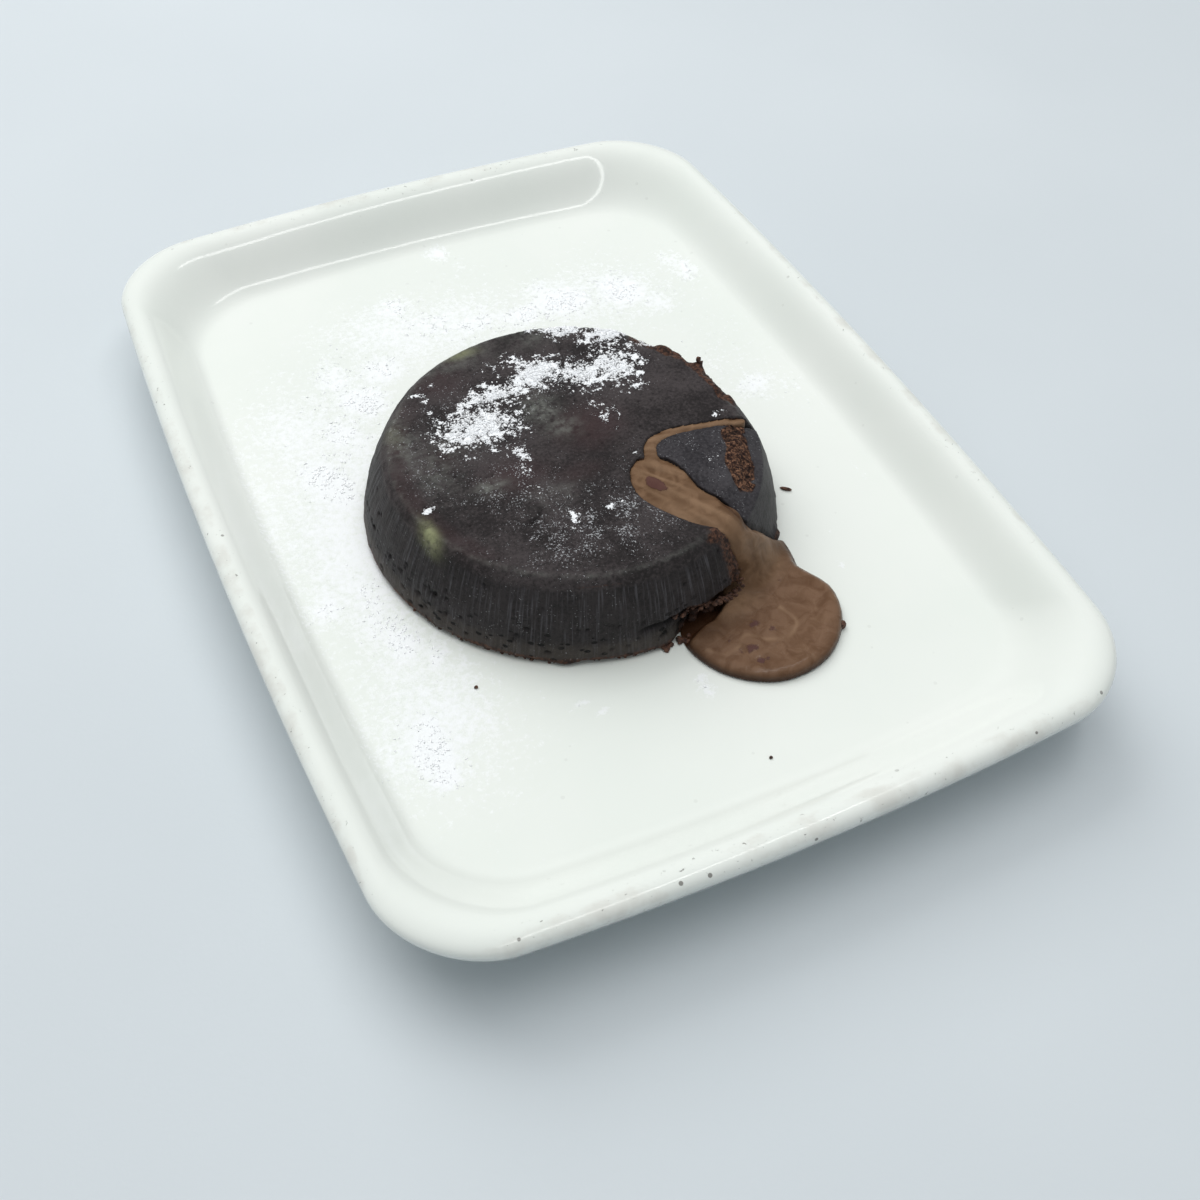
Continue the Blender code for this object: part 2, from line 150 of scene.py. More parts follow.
# Crumbs drowned in the puddle, as middle x and y, half widths, then how strong.
PUDDLE_BITS = (
    (11, -63.5, 2.4, 1.7, 1.4), (15.5, -57.5, 2.8, 1.9, 1.1), (12.5, -67, 1.6, 1.1, 1.3),
    (18.5, -60.5, 1.8, 1.5, 0.9), (9, -60, 1.3, 0.9, 0.8), (14, -61.5, 5, 4, 0.55), (26, -50, 1, 0.7, 1.1),
)  # fmt: skip

# Lines in plan: the painted highlight wavering across the puddle, the fold of the drape beside the
# slice (with painted shade along it), and a gash and a slit in the cake's top.
HIGHLIGHT_LINE = (
    (3.5, -60), (6, -62.6), (9.5, -62), (12.5, -60), (16, -62.8), (20, -64), (23.5, -61), (22.5, -56.5),
)  # fmt: skip
CREASE_LINE = ((17.6, -36.6), (18.8, -40.4), (20.4, -43))
GASH_LINE = ((-20.5, -27.5), (-18.6, -26.6), (-17, -24.6))
SLIT_LINE = ((8.2, 31), (8.8, 28), (9.6, 25.6))

# The puddle's edge under the torn lip, as every x and then every y.
CAVE_EDGE = ((-1, 2, 5.5, 9, 12.8, 14.5), (-58, -56, -54.4, -53.2, -50.9, -49.2))

# Loose crumbs: middle, half sizes, then turn in degrees.
LOOSE_CRUMBS = (
    (42.5, -25.0, 10.35, 1.35, 0.42, 0.35, -40.0), (32.4, -64.6, 10.9, 1.1, 0.8, 0.8, 20.0),
    (-41.6, -47.9, 10.25, 0.42, 0.34, 0.25, 0.0), (3.1, -86.8, 10.22, 0.38, 0.3, 0.22, 30.0),
    (34.2, 3.9, 28.3, 0.75, 0.5, 0.8, 30.0),
)  # fmt: skip

# Colours.
SUGAR_WHITE = (0.93, 0.95, 0.98)
FILM_WHITE = (0.93, 0.95, 0.97)
GLAZE_WHITES = ((0.83, 0.87, 0.825), (0.865, 0.895, 0.855))
WORN_GLAZE = (0.66, 0.65, 0.60)
PINHOLE_GREY = (0.22, 0.21, 0.19)
SPECK_BROWN = (0.14, 0.13, 0.115)
CRUST_BROWNS = ((0.019, 0.016, 0.0162), (0.058, 0.049, 0.050))
SLICE_BROWNS = ((0.021, 0.019, 0.022), (0.055, 0.051, 0.056))
FLANK_BLACK = (0.011, 0.0095, 0.0105)
RIB_GREY = (0.088, 0.084, 0.094)
LOWER_FLANK_GREY = (0.082, 0.068, 0.058)
# Painted shade inside the pores.
PORE_SHADE_BLACK = (0.0035, 0.003, 0.003)
WINE = (0.046, 0.026, 0.027)
# Grey of the bloom, also used for the painted highlight along the rim's bead.
BLOOM_AND_HIGHLIGHT_GREY = (0.20, 0.21, 0.19)
OLIVE = (0.33, 0.35, 0.19)
RUSTS = ((0.022, 0.011, 0.009), (0.118, 0.055, 0.034))
OPEN_CRUMBS = ((0.018, 0.009, 0.008), (0.24, 0.125, 0.075))
# Painted shade: near black for cracks, pits, pores and the cave under the lip.
HOLLOW_SHADE_BLACK = (0.006, 0.005, 0.005)
DUST_GREY = (0.44, 0.45, 0.47)
LOOSE_CRUMB_BROWNS = ((0.036, 0.018, 0.014), (0.145, 0.070, 0.044))
FLOW_BROWNS = ((0.105, 0.055, 0.027), (0.172, 0.099, 0.055))
PUDDLE_BROWNS = ((0.120, 0.060, 0.030), (0.185, 0.105, 0.062))
# Paler brown of the flow, also used for the painted highlight line on the puddle.
PALE_TONE_AND_HIGHLIGHT_BROWN = (0.30, 0.19, 0.115)
# Painted shade on the filling.
SHADE_BROWN = (0.036, 0.012, 0.004)
SOAKED_CRUMB = (0.085, 0.036, 0.034)
GRAIN_WHITES = ((0.91, 0.93, 0.96), (0.97, 0.98, 0.99))
TABLE_GREYS = ((0.63, 0.68, 0.715), (0.655, 0.705, 0.74))

# How much the food's own surface shines, under any coat.
FOOD_SPECULAR = 0.22

# Softboxes, in metres and watts: name, place, aim, size, power, and whether gloss mirrors it.
SOFTBOXES = (
    ("softbox_far", (-0.15, 0.75, 0.80), (0, 0.0, 0), (1.0, 0.7), 6.4, False),
    ("softbox_above", (0.05, 0.10, 1.20), (0, 0, 0), (1.2, 1.2), 6.9, False),
    ("strip_above", (0.15, -0.12, 0.85), (0, 0.02, 0), (0.9, 0.05), 0.6, True),
)
SOFTBOX_COLOUR = (1.0, 1.0, 0.985)
ROOM_COLOUR = (0.93, 0.97, 1.0, 1.0)
ROOM_STRENGTH = 0.34

# Camera: lens and sensor in millimetres, place in metres, turn in degrees.
LENS = 43.157
SENSOR = 36.0
CAMERA_PLACE = (-0.09809, -0.21267, 0.23630)
CAMERA_TURN = (40.958, -1.183, -25.446)


# --- numbers over points -------------------------------------------------------------

GRAIN_STRIDES = (73856093, 19349663, 83492791)
GRAIN_HEIGHTS = 8192


def grain(points, size, seed):
    """Smooth random numbers from -1 to 1, in lumps of this size."""
    cell = np.asarray(points, float) / size
    low = np.floor(cell).astype(np.int64)
    part = cell - low
    part = part * part * (3 - 2 * part)
    heights = np.random.default_rng(seed).uniform(-1, 1, GRAIN_HEIGHTS)
    total = np.zeros(len(cell))
    for corner in itertools.product((0, 1), repeat=3):
        x, y, z = ((low + corner) * GRAIN_STRIDES).T
        weight = np.prod(np.where(corner, part, 1 - part), axis=1)
        total += heights[(x ^ y ^ z) % GRAIN_HEIGHTS] * weight
    return total


def rough(points, size, seed, layers=3):
    """Lumps with smaller lumps on them."""
    total = sum(grain(points, size / 2**n, seed + n) / 2**n for n in range(layers))
    return total / 1.5


def soft_step(low, high, value):
    """0 at low, 1 at high, and a soft rise between."""
    share = np.clip((value - low) / (high - low), 0, 1)
    return share * share * (3 - 2 * share)


def ridge(away, half_width):
    """1 where this distance is 0, falling softly to 0 past its half width."""
    return np.exp(-((away / half_width) ** 2))


def mound(points, middle, half_widths):
    """1 at one place in plan, falling softly to 0 round it."""
    (x, y), (wide, long) = middle, half_widths
    return np.exp(-(((points[:, 0] - x) / wide) ** 2 + ((points[:, 1] - y) / long) ** 2))


def patches(points, spots):
    """How strongly a set of round spots marks each point, the strongest spot counting."""
    mark = np.zeros(len(points))
    for x, y, wide, long, strength in spots:
        away = ((points[:, 0] - x) / wide) ** 2 + ((points[:, 1] - y) / long) ** 2
        mark = np.maximum(mark, strength * np.exp(-0.9 * away))
    return mark


def smooth_line(knots, count):
    """Points on a smooth curve through a few knots."""
    knots = np.array(knots, float)
    ends = np.vstack((2 * knots[0] - knots[1], knots, 2 * knots[-1] - knots[-2]))
    line = []
    for place in np.linspace(0, len(knots) - 1, count):
        span = min(int(place), len(knots) - 2)
        t = place - span
        a, b, c, d = ends[span : span + 4]
        line.append(
            b + (c - a) * t / 2 + (2 * a - 5 * b + 4 * c - d) * t**2 / 2
            + (3 * b - a - 3 * c + d) * t**3 / 2
        )  # fmt: skip
    return np.array(line)


def from_line(points, knots, count):
    """Distance in plan from the smooth curve through a few knots."""
    nearest = np.full(len(points), 1e9)
    for x, y in smooth_line(knots, count):
        nearest = np.minimum(nearest, np.hypot(points[:, 0] - x, points[:, 1] - y))
    return nearest


def in_plan(points):
    """The points laid flat, for noise that runs straight down a side."""
    return points * (1, 1, 0)


def heading(degrees):
    """The direction at this angle, in plan."""
    turn = math.radians(degrees)
    return np.array((math.cos(turn), math.sin(turn)))


# --- meshes --------------------------------------------------------------------------


def vectors_of(collection, name):
    """One vector for each point, from Blender's own list of them."""
    flat = np.empty(len(collection) * 3, np.float32)
    collection.foreach_get(name, flat)
    return flat.reshape(-1, 3).astype(float)


def place_points(item, points):
    item.data.vertices.foreach_set("co", (points * MM).astype(np.float32).ravel())
    item.data.update()


def paint(item, name, values):
    """Stores one number for each point, for a material or a scatter to read."""
    layer = item.data.attributes.new(name, "FLOAT", "POINT")
    layer.data.foreach_set("value", np.clip(values, 0, 4).astype(np.float32))


def paint_place(item, name, places):
    """Stores a place for each point, for a pattern that follows the cake's slanting side."""
    layer = item.data.attributes.new(name, "FLOAT_VECTOR", "POINT")
    layer.data.foreach_set("vector", (places * MM).astype(np.float32).ravel())


def piece_from(mesh, name, material):
    item = bpy.data.objects.new(name, mesh)
    bpy.context.scene.collection.objects.link(item)
    mesh.materials.clear()
    mesh.materials.append(material)
    mesh.shade_smooth()
    return item


def evaluated_mesh(item):
    """The piece's mesh with its modifiers applied."""
    graph = bpy.context.evaluated_depsgraph_get()
    graph.update()
    return bpy.data.meshes.new_from_object(item.evaluated_get(graph), depsgraph=graph)


def fine_copy(node, name, voxel, material):
    """A copy of a CAD solid in small even faces, ready to be worked."""
    bm = bmesh.new()
    bm.from_mesh(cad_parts[node].data)
    bmesh.ops.remove_doubles(bm, verts=bm.verts, dist=1e-6)
    mesh = bpy.data.meshes.new(name + "_start")
    bm.to_mesh(mesh)
    bm.free()
    start = bpy.data.objects.new(name + "_start", mesh)
    bpy.context.scene.collection.objects.link(start)
    remesh = start.modifiers.new("even_faces", "REMESH")
    remesh.mode = "VOXEL"
    remesh.voxel_size = voxel * MM
    fine = evaluated_mesh(start)
    bpy.data.objects.remove(start, do_unlink=True)
    fine.name = name
    return piece_from(fine, name, material)


def relax(item, rounds, where=None):
    """Smooths a piece all over, or only at the points that are picked."""
    bm = bmesh.new()
    bm.from_mesh(item.data)
    chosen = [v for v in bm.verts if where is None or where[v.index]]
    for _ in range(rounds):
        bmesh.ops.smooth_vert(
            bm, verts=chosen, factor=0.5, use_axis_x=True, use_axis_y=True, use_axis_z=True
        )
    bm.to_mesh(item.data)
    bm.free()


# --- node trees ----------------------------------------------------------------------


class Amount:
    """A node's socket whose number can be worked with in plain arithmetic."""

    def __init__(self, tree, socket):
        self.tree = tree
        self.socket = socket

    def calc(self, operation, first, second):
        return self.tree.made(
            0, "ShaderNodeMath", {"operation": operation}, {0: first, 1: second}
        )

    def __add__(self, other):
        return self.calc("ADD", self, other)

    def __radd__(self, other):
        return self.calc("ADD", other, self)

    def __sub__(self, other):
        return self.calc("SUBTRACT", self, other)

    def __rsub__(self, other):
        return self.calc("SUBTRACT", other, self)

    def __mul__(self, other):
        return self.calc("MULTIPLY", self, other)

    def __rmul__(self, other):
        return self.calc("MULTIPLY", other, self)

    def __rtruediv__(self, other):
        return self.calc("DIVIDE", other, self)

    def __pow__(self, other):
        return self.calc("POWER", self, other)

    def __gt__(self, other):
        return self.calc("GREATER_THAN", self, other)

    def step(self, low, high):
        """0 below low, 1 above high, and a soft rise between."""
        return self.tree.made(
            "Result",
            "ShaderNodeMapRange",
            {"interpolation_type": "SMOOTHSTEP"},
            {"Value": self, "From Min": low, "From Max": high},
        )


class Tree:
    """A node tree while it is built."""

    def __init__(self, group):
        self.group = group

    def add(self, kind, settings=None, sockets=None):
        """A node, with its settings first and then its sockets' values or links."""
        node = self.group.nodes.new(kind)
        for name, setting in (settings or {}).items():
            setattr(node, name, setting)
        for name, value in (sockets or {}).items():
            if isinstance(value, Amount):
                self.group.links.new(value.socket, node.inputs[name])
            else:
                node.inputs[name].default_value = value
        return node

    def made(self, output, kind, settings=None, sockets=None):
        """One output of a new node."""
        return Amount(self, self.add(kind, settings, sockets).outputs[output])

    def vector(self, operation, first, second):
        """Vector maths on two places or directions."""
        return self.made(
            0, "ShaderNodeVectorMath", {"operation": operation}, {0: first, 1: second}
        )


class Recipe(Tree):
    """A material and the nodes in it."""

    def __init__(self, name):
        self.material = bpy.data.materials.new(name)
        self.material.use_nodes = True
        super().__init__(self.material.node_tree)
        self.group.nodes.clear()
        self.place = self.made("Object", "ShaderNodeTexCoord")

    def stretched(self, across, along, up):
        """The place on the piece, with each axis stretched by its own amount."""
        return self.vector("MULTIPLY", self.place, (across, along, up))

    def noise(self, size, detail=2.0, roughness=0.5, place=None, twist=0.0):
        """Soft noise from 0 to 1, in lumps of this size in millimetres."""
        sockets = {
            "Vector": place or self.place,
            "Scale": 1 / (size * MM),
            "Detail": detail,
            "Roughness": roughness,
            "Distortion": twist,
        }
        return self.made("Fac", "ShaderNodeTexNoise", None, sockets)

    def dots(self, size, place=None):
        """Distance from scattered centres, this many millimetres apart."""
        sockets = {"Vector": place or self.place, "Scale": 1 / (size * MM)}
        return self.made("Distance", "ShaderNodeTexVoronoi", None, sockets)

    def painted(self, name, output="Fac"):
        """What paint stored, or with output Vector what paint_place stored."""
        return self.made(output, "ShaderNodeAttribute", {"attribute_name": name})

    def mix(self, share, first, second):
        """A colour between two others."""
        colours = [c if isinstance(c, Amount) else (*c, 1.0) for c in (first, second)]
        sockets = {0: share, 6: colours[0], 7: colours[1]}
        return self.made(2, "ShaderNodeMix", {"data_type": "RGBA"}, sockets)

    def bump(self, height, depth):
        """A normal for relief of this depth in millimetres."""
        return self.made(
            "Normal", "ShaderNodeBump", None, {"Height": height, "Distance": depth * MM}
        )

    def finish(self, **sockets):
        """The material, from its shader's sockets by name."""
        named = {name.replace("_", " "): value for name, value in sockets.items()}
        shader = self.made(0, "ShaderNodeBsdfPrincipled", None, named)
        self.add("ShaderNodeOutputMaterial", None, {"Surface": shader})
        return self.material


# --- materials -----------------------------------------------------------------------


def white_glaze():
    """Glossy cream-white glaze with pinholes at the rim, and a dust of sugar in the well."""
    glaze = Recipe("white_glaze")
    rim = glaze.painted("rim")
    cloud = glaze.noise(38, 3)
    body = glaze.mix(cloud.step(0.3, 0.75), *GLAZE_WHITES)
    worn = (rim * glaze.noise(7, 4, 0.6)).step(0.42, 0.7)
    body = glaze.mix(worn * 0.5, body, WORN_GLAZE)
    pinholes = glaze.noise(1.1, 3, 0.75, twist=0.6).step(0.65, 0.73) * rim
    body = glaze.mix(pinholes * 0.8, body, PINHOLE_GREY)
    specks = (0.075 - glaze.dots(6.5)).step(0, 0.02) * (rim * 0.9 + 0.1)
    body = glaze.mix(specks * 0.8, body, SPECK_BROWN)
    powder = glaze.painted("powder")
    film = (powder * 0.55 + glaze.noise(1.3, 5, 0.7) * 0.9).step(0.56, 0.92)
    body = glaze.mix(film * 0.9, body, FILM_WHITE)
    grit = glaze.noise(0.55, 3, 0.7)
    height = glaze.noise(26, 2) * 0.6 + grit * film * 0.2 - pinholes * 0.25
    return glaze.finish(
        Base_Color=body,
        Roughness=film * 0.6 + 0.10 + worn * 0.1,
        Coat_Weight=(1 - film) * 0.4,
        Coat_Roughness=0.04,
        Normal=glaze.bump(height, 0.35),
    )


def flank_colours_and_shade(cake, body, flank, upright, pores):
    """The mould's pale upright streaks, a greyer foot, and near-black painted shade in the pores."""
    body = cake.mix(flank * 0.55, body, FLANK_BLACK)
    bands = cake.noise(7, 3, 0.6).step(0.34, 0.62) * 0.5 + 0.2
    body = cake.mix(flank * upright.step(0.50, 0.68) * bands, body, RIB_GREY)
    grey = cake.painted("lower") * (0.35 + cake.noise(1.2, 4, 0.75) * 0.9)
    body = cake.mix(grey.step(0.2, 1.0) * 0.6, body, LOWER_FLANK_GREY)
    # Painted shade: the pores darkened near black.
    return cake.mix(pores, body, PORE_SHADE_BLACK)


def top_colours_and_highlight(cake, body):
    """Wine-red tints, grey bloom with a painted highlight along the rim's bead, and the two olive spots.
    """
    wine = cake.painted("wine") * (0.4 + cake.noise(3.5, 4, 0.65))
    body = cake.mix(wine.step(0.1, 1.0) * 0.8, body, WINE)
    bloom_and_highlight = cake.painted("bloom_and_highlight") * cake.noise(2.2, 4, 0.65).step(0.33, 0.68)
    body = cake.mix(bloom_and_highlight * 0.75, body, BLOOM_AND_HIGHLIGHT_GREY)
    spot = cake.painted("green") * cake.noise(2.0, 3, 0.6).step(0.2, 0.55)
    return cake.mix(spot * 0.95, body, OLIVE)


def torn_colours_and_shade(cake, body, crumb):
    """Red-brown where the crust is torn, tan where its crumb lies open, and near-black painted shade in
    cracks, pits and the cave.
    """
    rust = (cake.painted("rust") * 0.8 + cake.noise(1.5, 4, 0.7) * 0.7).step(0.70, 1.05)
    torn = cake.mix(cake.noise(0.8, 3, 0.75).step(0.40, 0.62), *RUSTS)
    body = cake.mix(rust * 0.9, body, torn)
    open_crumb = cake.mix(cake.noise(0.75, 4, 0.8).step(0.44, 0.66), *OPEN_CRUMBS)
    body = cake.mix(crumb, body, open_crumb)
    # Painted shade, near black, in cracks, pits, pores and the cave under the lip.
    return cake.mix(cake.painted("hollow_shade"), body, HOLLOW_SHADE_BLACK)


def sponge(name, dark, light):
    """Dark baked chocolate: dull crust, red-brown where it is torn, grey bloom and a painted rim highlight
    on its top, painted shade in cracks and pores.
    """
    cake = Recipe(name)
    fine = cake.noise(0.7, 4, 0.7)
    body = cake.mix((cake.noise(11, 4, 0.65) * 0.5 + fine * 0.5).step(0.40, 0.60), dark, light)
    flank = cake.painted("flank")
    upright = cake.noise(0.48, 2, 0.6, place=cake.painted("upright", "Vector"))
    pores = (0.30 - cake.dots(2.5, cake.stretched(1, 1, 1.8))).step(0, 0.07)
    pores = pores * cake.noise(4.5, 2).step(0.38, 0.54) * cake.painted("porous")
    crumb = (cake.painted("crumb") + cake.noise(0.9, 3, 0.7) * 0.6).step(0.62, 0.95)
    body = flank_colours_and_shade(cake, body, flank, upright, pores)
    body = top_colours_and_highlight(cake, body)
    body = torn_colours_and_shade(cake, body, crumb)
    dust = cake.painted("dust") * (cake.noise(3.4, 3).step(0.36, 0.62) * 0.85 + 0.25)
    specks = (dust * 0.16 + cake.noise(0.40, 2, 0.8)).step(0.70, 0.76)
    body = cake.mix(specks * dust.step(0.02, 0.3) * 0.9, body, DUST_GREY)
    white = cake.painted("sugar")
    cover = (white + (cake.noise(0.5, 3, 0.75) - 0.5) * 2.4).step(0.52, 0.60) * white.step(0.1, 0.3)
    body = cake.mix(cover, body, SUGAR_WHITE)
    height = fine * 0.7 + cake.noise(0.3, 2) * 0.3 + cover * 0.5 + crumb * cake.noise(0.7, 3) * 1.2
    height = height + flank * upright * 0.8 - pores * 1.6
    return cake.finish(
        Base_Color=body,
        Roughness=0.47 + fine * 0.16 + (cover * 0.3 + crumb * 0.25),
        Specular_IOR_Level=FOOD_SPECULAR,
        Normal=cake.bump(height, 0.24),
    )


def melted_chocolate():
    """Thick milk-brown centre: dull and streaked up in the cake, glossy in the puddle, with painted shade
    and a painted highlight line on it.
    """
    flow = Recipe("melted_chocolate")
    pool = flow.painted("pool")
    streak = flow.noise(3.4, 4, 0.55, twist=0.8)
    body = flow.mix(streak.step(0.35, 0.68), *FLOW_BROWNS)
    wet = flow.mix(streak.step(0.3, 0.7), *PUDDLE_BROWNS)
    body = flow.mix(pool, body, wet)
    # Paler tone of the flow, and a painted highlight along the puddle's wavering line.
    body = flow.mix(flow.painted("pale_tone_and_highlight") * 0.5, body, PALE_TONE_AND_HIGHLIGHT_BROWN)
    painted_shade = flow.painted("painted_shade")
    # Painted shade: darker at the puddle's foot, its left side, the lobe, the crease and under the torn
    # lip.
    body = flow.mix(painted_shade * 0.92, body, SHADE_BROWN)
    bits = (flow.painted("bits") + flow.noise(1.1, 3, 0.7) * 0.6).step(0.72, 0.92)
    body = flow.mix(bits * 0.85, body, SOAKED_CRUMB)
    height = streak * 0.6 + flow.noise(0.8, 3, 0.6) * 0.22 + bits * 0.5
    return flow.finish(
        Base_Color=body,
        Roughness=0.50 - pool * 0.26 + bits * 0.2,
        Specular_IOR_Level=FOOD_SPECULAR,
        Coat_Weight=pool * (1 - painted_shade) * 0.25,
        Coat_Roughness=0.12,
        Normal=flow.bump(height, 0.3),
    )


def dull_finish(dry, share, colours, roughness, grit, depth):
    """A dull finish in two colours over fine grit, for what is dry."""
    return dry.finish(
        Base_Color=dry.mix(share, *colours),
        Roughness=roughness,
        Normal=dry.bump(dry.noise(grit, 2), depth),
    )


def icing_sugar():
    sugar = Recipe("icing_sugar")
    share = sugar.noise(0.7, 2)
    return dull_finish(sugar, share, GRAIN_WHITES, roughness=0.9, grit=0.18, depth=0.04)


def cake_crumb():
    crumb = Recipe("cake_crumb")
    share = crumb.noise(0.8, 3, 0.7).step(0.35, 0.65)
    return dull_finish(crumb, share, LOOSE_CRUMB_BROWNS, roughness=0.75, grit=0.3, depth=0.12)


def pale_table():
    table = Recipe("pale_table")
    share = table.noise(160, 3).step(0.3, 0.7)
    return dull_finish(table, share, TABLE_GREYS, roughness=0.55, grit=1.2, depth=0.02)


# --- plate ---------------------------------------------------------------------------


def plate_ring(inset, corner, level):
    """A rounded rectangle, inset from the plate's outline, whose sides bow gently out."""
    half = PLATE_HALF - inset
    ring = []
    for turn, (sign_x, sign_y) in enumerate(((1, 1), (-1, 1), (-1, -1), (1, -1))):
        centre = np.array((sign_x * (half[0] - corner), sign_y * (half[1] - corner)))
        angles = np.radians(90 * (turn + np.arange(RING_STEPS + 1) / RING_STEPS))
        ring.extend(centre + corner * np.array((math.cos(a), math.sin(a))) for a in angles)
        run = 2 * half[0 if turn % 2 == 0 else 1] - 2 * corner
        ahead = angles[-1] + math.pi / 2
        along = np.array((math.cos(ahead), math.sin(ahead)))
        start = ring[-1]
        ring.extend(start + along * run * n / RING_STEPS for n in range(1, RING_STEPS))
    ring = np.array(ring)
    share = ring / half
    bow = PLATE_BOW * (1 - share[:, ::-1] ** 2) * np.abs(share) ** 4 * np.sign(share)
    return np.column_stack((ring + bow, np.full(len(ring), level)))


def foot_profile():
    """The foot ring from its inner side round to its outer side, as inset, corner and level."""
    inner_foot = FOOT_INSET + FOOT_WIDTH
    steps = (
        (inner_foot + FOOT_SPREAD, UNDERSIDE_LEVEL),
        (inner_foot + FOOT_ROUND, UNDERSIDE_LEVEL - FOOT_ROUND),
        (inner_foot, FOOT_ROUND),
        (inner_foot - FOOT_ROUND, 0.0),
        (FOOT_INSET + FOOT_ROUND, 0.0),
        (FOOT_INSET, FOOT_ROUND),
        (FOOT_INSET - FOOT_ROUND, UNDERSIDE_LEVEL - FOOT_ROUND),
    )
    return [(inset, FOOT_CORNER, level) for inset, level in steps]


def edge_profile():
    """The outside from the foot up to the edge band, and the band itself."""
    band_foot = EDGE_LEVEL - EDGE_BAND
    start = FOOT_INSET - FOOT_SPREAD
    profile = []
    for share in np.arange(OUTSIDE_STEPS) / OUTSIDE_STEPS:
        inset = start + (EDGE_BAND_INSET - FOOT_INSET + FOOT_SPREAD) * share
        level = UNDERSIDE_LEVEL + (band_foot - UNDERSIDE_LEVEL) * share**1.25
        profile.append((inset, FOOT_CORNER + (PLATE_CORNER - FOOT_CORNER) * share, level))
    for out, rise in ((1, 0), (0.85, 0.5), (0.3, EDGE_BAND * 0.4), (0.08, EDGE_BAND * 0.75)):
        profile.append((EDGE_BAND_INSET * out, PLATE_CORNER, band_foot + rise))
    return profile


def inside_profile():
    """The rolled lip, and the inner wall down to the well."""
    profile = []
    for angle in np.radians(90 * np.arange(LIP_STEPS) / LIP_STEPS):
        inset = LIP_CREST_INSET * (1 - math.cos(angle))
        rise = (PLATE_HEIGHT - EDGE_LEVEL) * math.sin(angle)
        profile.append((inset, PLATE_CORNER, EDGE_LEVEL + rise))
    for share in np.arange(WALL_STEPS + 1) / WALL_STEPS:
        inset = LIP_CREST_INSET + (FLOOR_INSET - LIP_CREST_INSET) * share
        fall = 0.5 - 0.5 * math.cos(math.pi * share)
        level = PLATE_HEIGHT - (PLATE_HEIGHT - FLOOR_LEVEL) * fall
        profile.append((inset, PLATE_CORNER + (FLOOR_CORNER - PLATE_CORNER) * share, level))
    return profile


def plate_mesh():
    """The plate's points in millimetres, and its mesh: rings from under its middle to the well's."""
    profile = foot_profile() + edge_profile() + inside_profile()
    rings = [plate_ring(*ring) for ring in profile]
    under = [rings[0] * (s, s, 1) for s in np.linspace(0.04, 0.96, UNDER_RINGS)]
    well = [rings[-1] * (s, s, 1) for s in np.linspace(1, 0.01, FLOOR_RINGS + 1)[1:]]
    rings = under + rings + well
    count = len(rings[0])
    points = np.vstack(rings)
    ahead = (np.arange(count) + 1) % count
    faces = []
    for n in range(len(rings) - 1):
        low, high = n * count, (n + 1) * count
        faces += [(low + k, low + ahead[k], high + ahead[k], high + k) for k in range(count)]
    faces.append(tuple(range(count))[::-1])
    faces.append(tuple(range(len(points) - count, len(points))))
    mesh = bpy.data.meshes.new("plate_glazed")
    mesh.from_pydata((points * MM).tolist(), [], [tuple(map(int, f)) for f in faces])
    return points, mesh


def make_plate(material):
    """The glazed plate, its rim a little uneven and its well dusted with sugar."""
    points, mesh = plate_mesh()
    plate = piece_from(mesh, "plate_glazed", material)
    sway = 0.12 * grain(points, 45, 3) + 0.05 * grain(points, 14, 4)
    above = soft_step(9, 14, points[:, 2]) * soft_step(20.1, 19, points[:, 2])
    points[:, 2] += sway * above
    place_points(plate, points)
    level = points[:, 2]
    outer = (np.abs(points[:, :2]) / (PLATE_HALF + PLATE_BOW)).max(axis=1)
    rim = soft_step(12.5, 14.5, level) * soft_step(0.93, 0.965, outer)
    well_floor = soft_step(12.5, 10.5, level) * (level > FLOOR_LEVEL - 0.5)
    fine = patches(points, FINE_DUST_ON_PLATE) * 0.75
    heavy = patches(points, SUGAR_ON_PLATE)
    paint(plate, "rim", rim)
    paint(plate, "powder", np.maximum(fine, heavy) * (1 + 0.35 * rough(points, 9, 12)) * well_floor)
    paint(plate, "sugar", (heavy + 0.05 * fine) * well_floor)
    return plate


# --- the food's surface --------------------------------------------------------------


def around(points):
    """Distance from the cake's axis and direction in degrees."""
    out = points[:, :2] - CAKE_CENTRE
    return np.hypot(out[:, 0], out[:, 1]), np.degrees(np.arctan2(out[:, 1], out[:, 0]))


def side_radius(level):
    """How far the cake's slanting side is from its axis at this height."""
    share = (CAKE_TOP - level) / (CAKE_TOP - CAKE_SEAT)
    return CAKE_TOP_RADIUS + share * (CAKE_BASE_RADIUS - CAKE_TOP_RADIUS)


